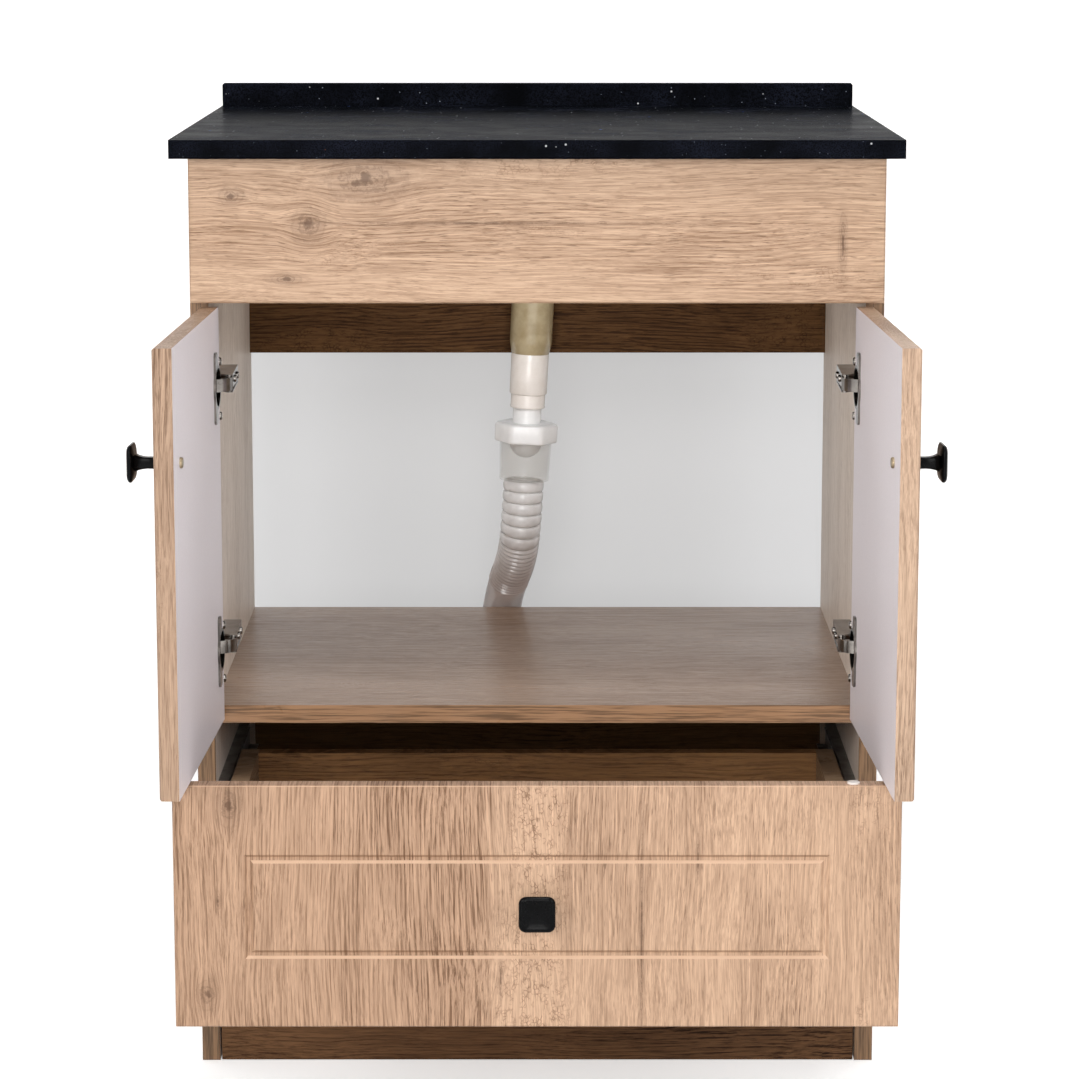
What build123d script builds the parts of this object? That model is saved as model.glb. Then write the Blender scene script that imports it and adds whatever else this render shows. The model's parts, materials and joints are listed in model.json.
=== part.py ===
"""Floor-standing vanity unit with two doors, one drawer, a stone counter and a flexible waste hose.

Millimetres, +Z up, +Y towards the wall, origin on the floor in the middle of the plinth's underside.
It is drawn as in the picture: both doors open and the drawer pulled part of the way out.
"""
import cmath
import math
import os

from build123d import *

os.makedirs("parts", exist_ok=True)

# Carcass
board = 16.0
carcass_width = 600.0
carcass_depth = 450.0
carcass_height = 808.0
floor_lap = 11.0
rear_opening = 259.0
front_rail_depth = 80.0
plinth_gap = 9.0
plinth_setback = 2.0
plinth_side_gap = 1.3
plinth_block = 24.0
plinth_block_share = 0.5
board_arris = 0.8

# Counter
counter_width = 626.0
counter_thickness = 16.0
counter_overhang = 20.0
counter_arris = 1.5
service_gap = 64.0
upstand_height = 22.0
upstand_thickness = 14.0
upstand_rebate = 3.0
upstand_clearance = 0.2

# Fronts
front_reveal = 1.5
apron_height = 125.0
apron_gap = 4.0
door_height = 364.0
door_gap = 3.0
drawer_gap = 3.0
drawer_front_height = 205.0
front_arris = 1.5
seal_gap = 2.0
groove_inset = 58.0
groove_width = 8.0
groove_depth = 2.5

# Door swing: where the inner hinge corner lies when the door stands open
open_angle = 92.0
open_inner_gap = 9.0
open_reach = 6.5

# Hinges
hinge_inset = 67.0
arm_pin_inset = 17.0
arm_pin_reach = 1.0
link_share = 0.46
link_bow = 5.0
link_width = 4.4
link_eye = 6.4
link_half = 5.6
pin_radius = 1.6
pin_clearance = 0.06
cup_radius = 17.5
cup_setback = 4.5
cup_depth = 12.0
cup_wall = 1.0
pocket_clearance = 0.35
cup_flange = 1.8
cup_flange_rim = 1.5
cup_ear_width = 14.0
cup_ear_height = 62.0
cup_ear_shift = 9.0
arm_wall = 1.4
arm_gap = 0.8
arm_depth = 16.0
arm_start = 10.0
arm_end = 66.0
arm_nose = 3.2
plate_thickness = 3.0
plate_width = 12.0
plate_height = 48.0
plate_line = 37.0
plate_lift = 0.5
block_length = 30.0
block_half = 5.0

# Knobs
knob_inset = 38.0
knob_from_top = 96.0
knob_neck = ((0.0, 13.0), (3.5, 9.8), (9.0, 9.2), (15.0, 10.6), (19.5, 14.0))
knob_head = ((19.5, 22.0), (21.4, 30.0), (23.2, 30.0), (25.0, 26.0))
knob_rounding = 0.3
screw_radius = 2.0
screw_clearance = 0.5
screw_head_radius = 4.5
screw_head_thickness = 2.4
screw_bite = 10.0

# Drawer and runners
drawer_pull = 220.0
drawer_length = 350.0
drawer_side_drop = 56.0
drawer_side_rise = 25.0
bottom_thickness = 3.0
bottom_lift = 8.0
bottom_tongue = 6.0
bottom_clearance = 0.2
cap_radius = 5.3
cap_thickness = 1.6
cap_inset = 39.5
runner_width = 12.7
runner_height = 45.0
runner_length = 350.0
runner_start = 2.0
runner_top_gap = 4.0
runner_wall = 1.2
runner_play = 0.4
runner_outer_depth = 9.5
runner_middle_depth = 9.4

# Waste line, from the counter's underside down a slightly leaning axis
waste_x = 4.2
waste_setback = 39.0
waste_lean = 2.93
flange_radius = 35.0
flange_thickness = 5.0
flange_clearance = 0.8
tail_radius = 20.8
tail_wall = 2.2
tail_above_floor = 272.0
taper_length = 11.0
coupling_radius = 18.4
coupling_length = 40.0
sleeve_radius = 16.8
sleeve_length = 13.4
neck_radius = 14.0
neck_bore = 11.0
neck_length = 15.0
nut_radius = 31.0
nut_length = 19.0
nut_roof = 4.0
nut_flats = 6
nut_flat_radius = 27.8
nut_cavity = 26.4
nut_arris = 2.0
nut_clearance = 0.4
washer_thickness = 3.0
cup_top_radius = 25.6
cup_foot_radius = 24.1
cup_length = 38.0
cup_shell = 1.6
dome_radius = 16.2

# Hose: its route is measured from the rear edge of the cabinet floor's top, in the middle
hose_crest = 20.1
hose_root = 17.6
hose_bore = 15.2
wide_ribs = 6
wide_pitch = 10.8
fine_ribs = 14
fine_pitch = 4.6
cuff_radius = 19.4
rib_rise = 0.22
rib_crest_end = 0.66
rib_fall_end = 0.88
hose_drop = 40.0
bend_share = 0.45
hose_route = [(-20.0, -20.5, 54.5), (-31.0, 16.7, 21.0), (-38.0, 33.0, -15.5),
              (-39.5, 34.5, -63.0), (-39.5, 34.5, -109.0)]

# Levels that follow from these sizes
front_y = -(plinth_setback + board / 2)
rear_y = front_y + carcass_depth
side_inner = carcass_width / 2 - board
inner_width = 2 * side_inner
front_width = carcass_width - 2 * front_reveal
apron_bottom = carcass_height - apron_height
door_bottom = apron_bottom - apron_gap - door_height
door_top = door_bottom + door_height
floor_top = door_bottom + floor_lap
rear_rail_height = carcass_height - floor_top - rear_opening
hinge_heights = (door_bottom + hinge_inset, door_top - hinge_inset)
knob_height = door_top - knob_from_top
door_width = (front_width - door_gap) / 2
drawer_front_top = door_bottom - drawer_gap
drawer_front_bottom = drawer_front_top - drawer_front_height
drawer_side_top = drawer_front_top - drawer_side_drop
drawer_side_bottom = drawer_front_bottom + drawer_side_rise
plinth_height = drawer_front_bottom - plinth_gap
counter_front = front_y - board - counter_overhang
counter_rear = rear_y + service_gap
counter_top = carcass_height + counter_thickness

low = (Align.CENTER, Align.MIN, Align.MIN)
below = (Align.CENTER, Align.CENTER, Align.MAX)
above = (Align.CENTER, Align.CENTER, Align.MIN)


def keep(builder, name):
    """Name a finished sub-part and write it out."""
    builder.part.label = name
    export_step(builder.part, f"parts/{name}.step")


def keep_pair(builder, name):
    """Write a left sub-part and its mirrored right twin."""
    keep(builder, f"left_{name}")
    with BuildPart() as twin:
        mirror(builder.part, about=Plane.YZ)
    keep(twin, f"right_{name}")


# Carcass boards
with BuildPart() as side_panel:
    with Locations((-carcass_width / 2, front_y, 0)):
        Box(board, carcass_depth, carcass_height, align=(Align.MIN, Align.MIN, Align.MIN))
    chamfer(side_panel.faces().sort_by(Axis.Y)[0].edges(), board_arris)
keep_pair(side_panel, "side_panel")

with BuildPart() as cabinet_floor:
    with Locations((0, front_y, floor_top - board)):
        Box(inner_width, carcass_depth, board, align=low)
keep(cabinet_floor, "cabinet_floor")

with BuildPart() as front_top_rail:
    with Locations((0, front_y, carcass_height - board)):
        Box(inner_width, front_rail_depth, board, align=low)
keep(front_top_rail, "front_top_rail")

with BuildPart() as rear_top_rail:
    with Locations((0, rear_y - board, carcass_height - rear_rail_height)):
        Box(inner_width, board, rear_rail_height, align=low)
keep(rear_top_rail, "rear_top_rail")

with BuildPart() as lower_back_panel:
    with Locations((0, rear_y - board, plinth_height)):
        Box(inner_width, board, floor_top - board - plinth_height, align=low)
keep(lower_back_panel, "lower_back_panel")

with BuildPart() as plinth_board:
    with Locations((0, -board / 2, 0)):
        Box(inner_width - 2 * plinth_side_gap, board, plinth_height, align=low)
keep(plinth_board, "plinth_board")

with BuildPart() as plinth_blocks:
    for side, face in ((-1, Align.MIN), (1, Align.MAX)):
        with Locations((side * side_inner, board / 2, plinth_height)):
            Box(plinth_block, plinth_block, plinth_block_share * plinth_height, align=(face, Align.MIN, Align.MAX))
keep(plinth_blocks, "plinth_blocks")

with BuildPart() as apron_panel:
    with Locations((0, front_y - board, apron_bottom)):
        Box(front_width, board, apron_height, align=low)
    chamfer(apron_panel.faces().sort_by(Axis.Y)[0].edges(), front_arris)
keep(apron_panel, "apron_panel")

# Stone counter with its upstand
with BuildPart() as countertop:
    with Locations((0, counter_front, carcass_height)):
        Box(counter_width, counter_rear - counter_front, counter_thickness, align=low)
    chamfer(countertop.faces().sort_by(Axis.Y)[0].edges(), counter_arris)
    with Locations((0, counter_rear, counter_top)):
        Box(counter_width, upstand_thickness + upstand_clearance, upstand_rebate,
            align=(Align.CENTER, Align.MAX, Align.MAX), mode=Mode.SUBTRACT)
keep(countertop, "countertop")

with BuildPart() as backsplash:
    with Locations((0, counter_rear - upstand_thickness, counter_top - upstand_rebate)):
        Box(counter_width, upstand_thickness, upstand_height + upstand_rebate, align=low)
    chamfer(backsplash.faces().sort_by(Axis.Z)[-1].edges(), counter_arris)
keep(backsplash, "backsplash")

# Hinge pins of the left side, as points of the plan: the link turns about the arm pin against the door,
# and the cup pin is the one place in the door that lets it swing from shut to fully drawn open
open_turn = cmath.rect(1, -math.radians(open_angle))
link_turn = cmath.rect(1, math.radians(open_angle * link_share))
arm_pin = complex(-side_inner + arm_pin_inset, front_y - arm_pin_reach)
shut_corner = complex(-front_width / 2, front_y - seal_gap)
open_corner = complex(-side_inner + open_inner_gap, front_y - open_reach)
cup_pin_shut = (open_corner - arm_pin + link_turn * arm_pin - open_turn * shut_corner) / (link_turn - open_turn)
cup_pin = arm_pin + link_turn * (cup_pin_shut - arm_pin)
cup_pin_inset = cup_pin_shut.real - shut_corner.real
cup_pin_depth = shut_corner.imag - cup_pin_shut.imag
cup_centre = cup_setback + cup_radius

# The open left door: X from its hinge edge, Y up, Z from its inner face to its outer face
door_plane = Plane(
    origin=(open_corner.real, open_corner.imag, door_bottom),
    x_dir=(math.cos(-math.radians(open_angle)), math.sin(-math.radians(open_angle)), 0),
    z_dir=(math.sin(-math.radians(open_angle)), -math.cos(-math.radians(open_angle)), 0),
)
hinge_rises = [height - door_bottom for height in hinge_heights]
knob_spot = (door_width - knob_inset, knob_height - door_bottom)

with BuildPart(door_plane) as door_panel:
    with Locations((door_width / 2, door_height / 2, 0)):
        Box(door_width, door_height, board, align=above)
    chamfer(door_panel.faces().sort_by(Axis.X)[0].edges(), front_arris)
    with BuildSketch(door_plane.offset(board)):
        with Locations((door_width / 2, door_height / 2)):
            Rectangle(door_width - 2 * groove_inset, door_height - 2 * groove_inset)
            Rectangle(door_width - 2 * groove_inset - 2 * groove_width,
                      door_height - 2 * groove_inset - 2 * groove_width, mode=Mode.SUBTRACT)
    extrude(amount=-groove_depth, mode=Mode.SUBTRACT)
    with Locations(*[(cup_centre, rise, 0) for rise in hinge_rises]):
        Cylinder(cup_radius + pocket_clearance, cup_depth + pocket_clearance, align=above, mode=Mode.SUBTRACT)
    with Locations((*knob_spot, 0)):
        Cylinder(screw_radius + screw_clearance, board, align=above, mode=Mode.SUBTRACT)
keep_pair(door_panel, "door_panel")


def knob_section(plane, level, width):
    """A square with rounded corners at a level of the knob."""
    with BuildSketch(plane.offset(level)) as section:
        RectangleRounded(width, width, knob_rounding * width)
    return section.sketch


def draw_knob(plane):
    """A square mushroom knob standing on the plane, with a blind hole for its screw."""
    with BuildPart() as knob:
        loft([knob_section(plane, *step) for step in knob_neck], ruled=True)
        loft([knob_section(plane, *step) for step in knob_head], ruled=True)
        with BuildSketch(plane):
            Circle(screw_radius + screw_clearance)
        extrude(amount=screw_bite + screw_clearance, mode=Mode.SUBTRACT)
    return knob


def draw_knob_screw(plane, grip):
    """The screw of a knob: its head lies on the far side of a panel, its shank ends in the knob."""
    with BuildPart(plane) as screw:
        with Locations((0, 0, -grip)):
            Cylinder(screw_head_radius, screw_head_thickness, align=below)
            Cylinder(screw_radius, grip + screw_bite, align=above)
        chamfer(screw.edges().filter_by(GeomType.CIRCLE).sort_by(SortBy.RADIUS)[-1], screw_head_thickness / 3)
    return screw


door_knob_plane = Plane(door_plane.from_local_coords((*knob_spot, board)), door_plane.x_dir, door_plane.z_dir)
keep_pair(draw_knob(door_knob_plane), "door_knob")
keep_pair(draw_knob_screw(door_knob_plane, board), "knob_screw")

# Hinge cups in the door, each with the pin its link turns on
with BuildPart() as hinge_cups:
    for rise in hinge_rises:
        cup_plane = Plane(door_plane.from_local_coords((cup_centre, rise, 0)), door_plane.x_dir, door_plane.z_dir)
        with BuildSketch(cup_plane):
            Circle(cup_radius + cup_flange_rim)
            with Locations((cup_ear_shift, 0)):
                RectangleRounded(cup_ear_width, cup_ear_height, cup_ear_width / 3)
        extrude(amount=-cup_flange)
        with BuildSketch(cup_plane):
            Circle(cup_radius)
        extrude(amount=cup_depth)
        with BuildSketch(cup_plane.offset(-cup_flange)):
            Circle(cup_radius - cup_wall)
        extrude(amount=cup_flange + cup_depth - cup_wall, mode=Mode.SUBTRACT)
        pin_offset = cup_centre - cup_pin_inset
        pin_span = math.sqrt(cup_radius**2 - (pin_offset + pin_radius) ** 2)
        with BuildSketch(Plane((cup_pin.real, cup_pin.imag, door_bottom + rise - pin_span))):
            Circle(pin_radius)
        extrude(amount=2 * pin_span)
keep_pair(hinge_cups, "hinge_cups")

# Hinge links, bowed to pass round the door's edge
link_chord = cup_pin - arm_pin
link_bend = (arm_pin + cup_pin) / 2 + link_bow * link_chord / abs(link_chord) * 1j
with BuildPart() as hinge_links:
    for height in hinge_heights:
        with BuildSketch(Plane.XY.offset(height - link_half)):
            with BuildLine() as link_line:
                ThreePointArc((arm_pin.real, arm_pin.imag), (link_bend.real, link_bend.imag),
                              (cup_pin.real, cup_pin.imag))
            SlotArc(link_line.edges()[0], link_width)
            with Locations((arm_pin.real, arm_pin.imag), (cup_pin.real, cup_pin.imag)):
                Circle(link_eye / 2)
                Circle(pin_radius + pin_clearance, mode=Mode.SUBTRACT)
        extrude(amount=2 * link_half)
keep_pair(hinge_links, "hinge_links")

# Hinge arms: a channel over the plate, its two cheeks carrying the arm pin
arm_half = link_half + arm_gap + arm_wall
arm_face = -side_inner + plate_thickness + arm_depth
with BuildPart() as hinge_arms:
    for height in hinge_heights:
        for cheek_low in (height - arm_half, height + arm_half - arm_wall):
            with BuildSketch(Plane.XY.offset(cheek_low)):
                with BuildLine():
                    CenterArc((arm_pin.real, arm_pin.imag), arm_nose, 0, 360)
                    Polyline((-side_inner + plate_thickness + plate_lift, front_y + arm_start),
                             (arm_face, front_y + arm_start), (arm_face, front_y + arm_end),
                             (-side_inner + plate_thickness + plate_lift, front_y + arm_end), close=True)
                make_hull()
            extrude(amount=arm_wall)
        with Locations((arm_face, front_y + arm_start, height)):
            Box(arm_wall, arm_end - arm_start, 2 * arm_half, align=(Align.MAX, Align.MIN, Align.CENTER))
        with Locations((arm_pin.real, arm_pin.imag, height)):
            Cylinder(pin_radius, 2 * arm_half)
keep_pair(hinge_arms, "hinge_arms")

# Hinge plates on the side panels, with the block that carries the arm
with BuildPart() as hinge_plates:
    for height in hinge_heights:
        with Locations((-side_inner, front_y + plate_line, height)):
            Box(plate_thickness, plate_width, plate_height, align=(Align.MIN, Align.CENTER, Align.CENTER))
            Box(plate_thickness + arm_depth - arm_wall, block_length, 2 * block_half,
                align=(Align.MIN, Align.CENTER, Align.CENTER))
keep_pair(hinge_plates, "hinge_plates")

# Drawer, pulled out as in the picture
drawer_front_back = front_y - seal_gap - drawer_pull
drawer_outer = inner_width - 2 * runner_width
drawer_inner = drawer_outer - 2 * board
bottom_z = drawer_side_bottom + bottom_lift
drawer_knob_height = drawer_front_bottom + drawer_front_height / 2
drawer_knob_plane = Plane((0, drawer_front_back - board, drawer_knob_height), (1, 0, 0), (0, -1, 0))

with BuildPart() as drawer_front:
    with Locations((0, drawer_front_back - board, drawer_front_bottom)):
        Box(front_width, board, drawer_front_height, align=low)
    chamfer(drawer_front.faces().sort_by(Axis.Y)[0].edges(), front_arris)
    with BuildSketch(drawer_knob_plane):
        Rectangle(front_width - 2 * groove_inset, drawer_front_height - 2 * groove_inset)
        Rectangle(front_width - 2 * groove_inset - 2 * groove_width,
                  drawer_front_height - 2 * groove_inset - 2 * groove_width, mode=Mode.SUBTRACT)
    extrude(amount=-groove_depth, mode=Mode.SUBTRACT)
    with BuildSketch(drawer_knob_plane):
        Circle(screw_radius + screw_clearance)
    extrude(amount=-board, mode=Mode.SUBTRACT)
keep(drawer_front, "drawer_front")
keep(draw_knob(drawer_knob_plane), "drawer_knob")
keep(draw_knob_screw(drawer_knob_plane, board), "drawer_knob_screw")

with BuildPart() as drawer_cap:
    with Locations((front_width / 2 - cap_inset, drawer_front_back - board / 2, drawer_front_top)):
        Cylinder(cap_radius, cap_thickness, align=above)
    chamfer(drawer_cap.faces().sort_by(Axis.Z)[-1].edges(), cap_thickness / 3)
keep(drawer_cap, "drawer_cap")

with BuildPart() as drawer_side:
    with Locations((-drawer_outer / 2, drawer_front_back, drawer_side_bottom)):
        Box(board, drawer_length, drawer_side_top - drawer_side_bottom, align=(Align.MIN, Align.MIN, Align.MIN))
    with Locations((-drawer_inner / 2, drawer_front_back, bottom_z)):
        Box(bottom_tongue + bottom_clearance, drawer_length, bottom_thickness + bottom_clearance,
            align=(Align.MAX, Align.MIN, Align.MIN), mode=Mode.SUBTRACT)
keep_pair(drawer_side, "drawer_side")

with BuildPart() as drawer_back:
    with Locations((0, drawer_front_back + drawer_length - board, bottom_z + bottom_thickness)):
        Box(drawer_inner, board, drawer_side_top - bottom_z - bottom_thickness, align=low)
keep(drawer_back, "drawer_back")

with BuildPart() as drawer_bottom:
    with Locations((0, drawer_front_back, bottom_z)):
        Box(drawer_inner + 2 * bottom_tongue, drawer_length, bottom_thickness, align=low)
keep(drawer_bottom, "drawer_bottom")

# Telescopic runners: three nested channels each side
runner_z = drawer_side_top - runner_top_gap - runner_height / 2
runner_y = front_y + runner_start
middle_height = runner_height - 2 * (runner_wall + runner_play)
inner_height = middle_height - 2 * (runner_wall + runner_play)
runner_in = (Align.MIN, Align.MIN, Align.CENTER)

with BuildPart() as runner_outer:
    with Locations((-side_inner, runner_y, runner_z)):
        Box(runner_outer_depth, runner_length, runner_height, align=runner_in)
    with Locations((-side_inner + runner_wall, runner_y, runner_z)):
        Box(runner_outer_depth, runner_length, runner_height - 2 * runner_wall, align=runner_in, mode=Mode.SUBTRACT)
keep_pair(runner_outer, "runner_outer")

middle_x = -side_inner + runner_wall + runner_play
with BuildPart() as runner_middle:
    with Locations((middle_x, runner_y - drawer_pull / 2, runner_z)):
        Box(runner_middle_depth, runner_length, middle_height, align=runner_in)
    with Locations((middle_x + runner_wall, runner_y - drawer_pull / 2, runner_z)):
        Box(runner_middle_depth, runner_length, middle_height - 2 * runner_wall, align=runner_in, mode=Mode.SUBTRACT)
keep_pair(runner_middle, "runner_middle")

inner_x = middle_x + runner_wall + runner_play
inner_depth = -side_inner + runner_width - inner_x
with BuildPart() as runner_inner:
    with Locations((inner_x, runner_y - drawer_pull, runner_z)):
        Box(inner_depth, runner_length, inner_height, align=runner_in)
        Box(inner_depth - runner_wall, runner_length, inner_height - 2 * runner_wall, align=runner_in,
            mode=Mode.SUBTRACT)
keep_pair(runner_inner, "runner_inner")

# Waste line
waste_y = rear_y - waste_setback
waste_up = (math.sin(math.radians(waste_lean)), 0, math.cos(math.radians(waste_lean)))
waste_plane = Plane((waste_x, waste_y, carcass_height), (waste_up[2], 0, -waste_up[0]), waste_up)
tail_length = carcass_height - floor_top - tail_above_floor
coupling_top = -tail_length - taper_length
sleeve_top = coupling_top - coupling_length
neck_top = sleeve_top - sleeve_length
nut_top = neck_top - neck_length
nut_foot = nut_top - nut_length
cup_foot = nut_foot - cup_length

with BuildPart() as waste_flange:
    with Locations((waste_x, waste_y, carcass_height)):
        Cylinder(flange_radius, flange_thickness, align=below)
        Cylinder(tail_radius + flange_clearance, flange_thickness, align=below, mode=Mode.SUBTRACT)
    with Locations((waste_x, rear_y - board - flange_clearance, carcass_height)):
        Box(2 * flange_radius, flange_radius, flange_thickness, align=(Align.CENTER, Align.MIN, Align.MAX),
            mode=Mode.SUBTRACT)
keep(waste_flange, "waste_flange")

with BuildPart(waste_plane) as waste_tail:
    with Locations((0, 0, -tail_length)):
        Cylinder(tail_radius, tail_length + tail_wall, align=above)
        Cone(coupling_radius, tail_radius, taper_length, align=below)
        Cylinder(tail_radius - tail_wall, tail_length + tail_wall, align=above, mode=Mode.SUBTRACT)
        Cone(coupling_radius - tail_wall, tail_radius - tail_wall, taper_length, align=below, mode=Mode.SUBTRACT)
    split(bisect_by=Plane.XY.offset(carcass_height), keep=Keep.BOTTOM)
keep(waste_tail, "waste_tail")

with BuildPart(waste_plane) as waste_coupling:
    with Locations((0, 0, coupling_top)):
        Cylinder(coupling_radius, coupling_length, align=below)
    with Locations((0, 0, sleeve_top)):
        Cylinder(sleeve_radius, sleeve_length, align=below)
    with Locations((0, 0, coupling_top)):
        Cylinder(neck_bore, coupling_length + sleeve_length, align=below, mode=Mode.SUBTRACT)
keep(waste_coupling, "waste_coupling")

with BuildPart(waste_plane) as waste_neck:
    with Locations((0, 0, neck_top)):
        Cylinder(neck_radius, neck_length + nut_length, align=below)
        Cylinder(neck_bore, neck_length + nut_length, align=below, mode=Mode.SUBTRACT)
keep(waste_neck, "waste_neck")

with BuildPart(waste_plane) as collar_nut:
    with Locations((0, 0, nut_top)):
        Cylinder(nut_radius, nut_length, align=below)
    chamfer(collar_nut.edges().filter_by(GeomType.CIRCLE), nut_arris)
    with BuildSketch(waste_plane.offset(nut_foot)):
        RegularPolygon(nut_flat_radius, nut_flats, major_radius=False)
    extrude(amount=nut_length, mode=Mode.INTERSECT)
    with Locations((0, 0, nut_top - nut_roof)):
        Cylinder(nut_cavity, nut_length - nut_roof, align=below, mode=Mode.SUBTRACT)
    with Locations((0, 0, nut_top)):
        Cylinder(neck_radius + nut_clearance, nut_roof, align=below, mode=Mode.SUBTRACT)
keep(collar_nut, "collar_nut")

washer_radius = nut_cavity - nut_clearance
with BuildPart(waste_plane) as sealing_washer:
    with Locations((0, 0, nut_top - nut_roof)):
        Cylinder(washer_radius, washer_thickness, align=below)
        Cylinder(neck_radius + nut_clearance, washer_thickness, align=below, mode=Mode.SUBTRACT)
keep(sealing_washer, "sealing_washer")

cup_rim = nut_top - nut_roof - washer_thickness
with BuildPart(waste_plane) as trap_cup:
    with Locations((0, 0, cup_rim)):
        Cylinder(washer_radius, washer_thickness, align=below)
        Cylinder(cup_top_radius, cup_rim - nut_foot, align=below)
    with Locations((0, 0, nut_foot)):
        Cone(cup_foot_radius, cup_top_radius, cup_length, align=below)
        Cone(cup_foot_radius - cup_shell, cup_top_radius - cup_shell, cup_length - cup_shell, align=below,
             mode=Mode.SUBTRACT)
        Cylinder(hose_bore, cup_length, align=below, mode=Mode.SUBTRACT)
    with Locations((0, 0, cup_rim)):
        Cylinder(cup_top_radius - cup_shell, cup_rim - nut_foot, align=below, mode=Mode.SUBTRACT)
keep(trap_cup, "trap_cup")

with BuildPart(waste_plane) as trap_dome:
    with Locations((0, 0, nut_foot)):
        Sphere(dome_radius, arc_size1=-90, arc_size2=0, align=below)
keep(trap_dome, "trap_dome")

# Hose: straight runs joined by tangent arcs, ribbed first and smooth towards its end
hose_start = waste_plane.from_local_coords((0, 0, cup_foot))
hose_bend = waste_plane.from_local_coords((0, 0, cup_foot - hose_drop))
route = [hose_start, hose_bend]
for across, behind, above_floor in hose_route:
    route.append(Vector(across, rear_y + behind, floor_top + above_floor))
radii = []
for before, corner, after in zip(route, route[1:], route[2:]):
    turn = (corner - before).get_angle(after - corner)
    shorter = min((corner - before).length, (after - corner).length)
    radii.append(bend_share * shorter / math.tan(math.radians(turn / 2)))
with BuildLine() as hose_line:
    FilletPolyline(*route, radius=radii)
hose_wire = hose_line.wires()[0]
ribbed_length = wide_ribs * wide_pitch + fine_ribs * fine_pitch


def hose_ring(distance, radius):
    """A circle square to the hose at a distance along it."""
    share = distance / hose_wire.length
    with BuildSketch(Plane(hose_wire.position_at(share), Vector(1, 0, 0), hose_wire.tangent_at(share))) as ring:
        Circle(radius)
    return ring.sketch


pitches = [wide_pitch] * wide_ribs + [fine_pitch] * fine_ribs
rings = []
reached = 0.0
for pitch in pitches:
    rings.append(hose_ring(reached, hose_root))
    rings.append(hose_ring(reached + rib_rise * pitch, hose_crest))
    rings.append(hose_ring(reached + rib_crest_end * pitch, hose_crest))
    rings.append(hose_ring(reached + rib_fall_end * pitch, hose_root))
    reached += pitch
rings.append(hose_ring(reached, hose_root))
ribbed_share = ribbed_length / hose_wire.length

with BuildPart() as waste_hose:
    loft(rings, ruled=True)
    sweep(hose_ring(0, hose_bore), path=hose_wire.trim(0, ribbed_share), mode=Mode.SUBTRACT)
keep(waste_hose, "waste_hose")

with BuildPart() as hose_cuff:
    sweep(hose_ring(ribbed_length, cuff_radius), path=hose_wire.trim(ribbed_share, 1))
    sweep(hose_ring(ribbed_length, hose_bore), path=hose_wire.trim(ribbed_share, 1), mode=Mode.SUBTRACT)
keep(hose_cuff, "hose_cuff")

print("hose radii", [round(radius, 1) for radius in radii], "length", round(hose_wire.length, 1))
print("hose volume", round(waste_hose.part.volume), "cuff volume", round(hose_cuff.part.volume))
print("cup pin", round(cup_pin_inset, 2), round(cup_pin_depth, 2), "arm pin", arm_pin, "cup pin", cup_pin)
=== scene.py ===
# %% [markdown]
# # A vanity unit, dressed in Blender
# The measured solids come in first and stay where they are: boards, stone, runners and hinges.
# They carry the shape. This lesson gives them their finishes, and models the pieces whose real form is
# finer than a solid needs to be: the routed drawer front, the knobs, the screws, the waste pipe and its
# ribbed hose.

# %% Bring in the measured solids
import json
import math

import bmesh
import bpy
from mathutils import Matrix, Vector

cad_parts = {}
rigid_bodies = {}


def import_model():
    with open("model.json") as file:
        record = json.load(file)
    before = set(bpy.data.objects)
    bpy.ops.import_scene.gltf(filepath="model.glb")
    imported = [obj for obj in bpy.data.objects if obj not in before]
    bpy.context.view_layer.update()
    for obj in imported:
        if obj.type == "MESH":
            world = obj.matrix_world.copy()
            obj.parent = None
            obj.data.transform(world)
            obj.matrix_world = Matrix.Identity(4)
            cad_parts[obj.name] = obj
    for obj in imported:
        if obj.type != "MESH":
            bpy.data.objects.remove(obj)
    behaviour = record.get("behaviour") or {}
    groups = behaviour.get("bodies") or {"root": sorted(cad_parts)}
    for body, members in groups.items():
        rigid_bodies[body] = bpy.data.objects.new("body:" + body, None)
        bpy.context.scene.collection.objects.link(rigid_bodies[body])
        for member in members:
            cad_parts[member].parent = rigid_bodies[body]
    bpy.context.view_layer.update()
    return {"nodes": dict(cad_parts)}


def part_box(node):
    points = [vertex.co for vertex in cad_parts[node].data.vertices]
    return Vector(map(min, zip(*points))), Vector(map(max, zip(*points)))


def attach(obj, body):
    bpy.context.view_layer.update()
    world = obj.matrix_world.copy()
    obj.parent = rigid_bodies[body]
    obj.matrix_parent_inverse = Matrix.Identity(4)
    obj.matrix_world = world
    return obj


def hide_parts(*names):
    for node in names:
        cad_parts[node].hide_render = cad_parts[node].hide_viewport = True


for leftover in list(bpy.data.objects):
    bpy.data.objects.remove(leftover, do_unlink=True)
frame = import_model()
nodes = frame["nodes"]

# %% [markdown]
# ## The camera
# The picture was taken from about three metres with a long lens, a little above the counter and
# tipped down ten degrees. A long lens keeps the sides of the cabinet nearly parallel, so the camera
# stands far away and the lens is long, instead of moving close with a short one.

# %% Place the camera
CAMERA_PLACE = (0.002, -3.10, 1.019)
CAMERA_TURN = (math.radians(80.0), 0.0, 0.0)
SENSOR_WIDTH = 36.0
FOCAL_LENGTH = 119.8
camera_data = bpy.data.cameras.new("camera")
camera = bpy.data.objects.new("camera", camera_data)
bpy.context.collection.objects.link(camera)
camera.location = CAMERA_PLACE
camera.rotation_euler = CAMERA_TURN
camera_data.sensor_width = SENSOR_WIDTH
camera_data.lens = FOCAL_LENGTH
bpy.context.scene.camera = camera
print("camera", CAMERA_PLACE)

# %% [markdown]
# ## Small helpers
# A finished piece keeps its object at the origin, with its place in the mesh, so that patterns on
# Object coordinates stay put. Every piece rides on a body of the frame, so it moves when that body does.
# Small profiles are written in millimetres and divided by MM, the millimetres in a metre.

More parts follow.
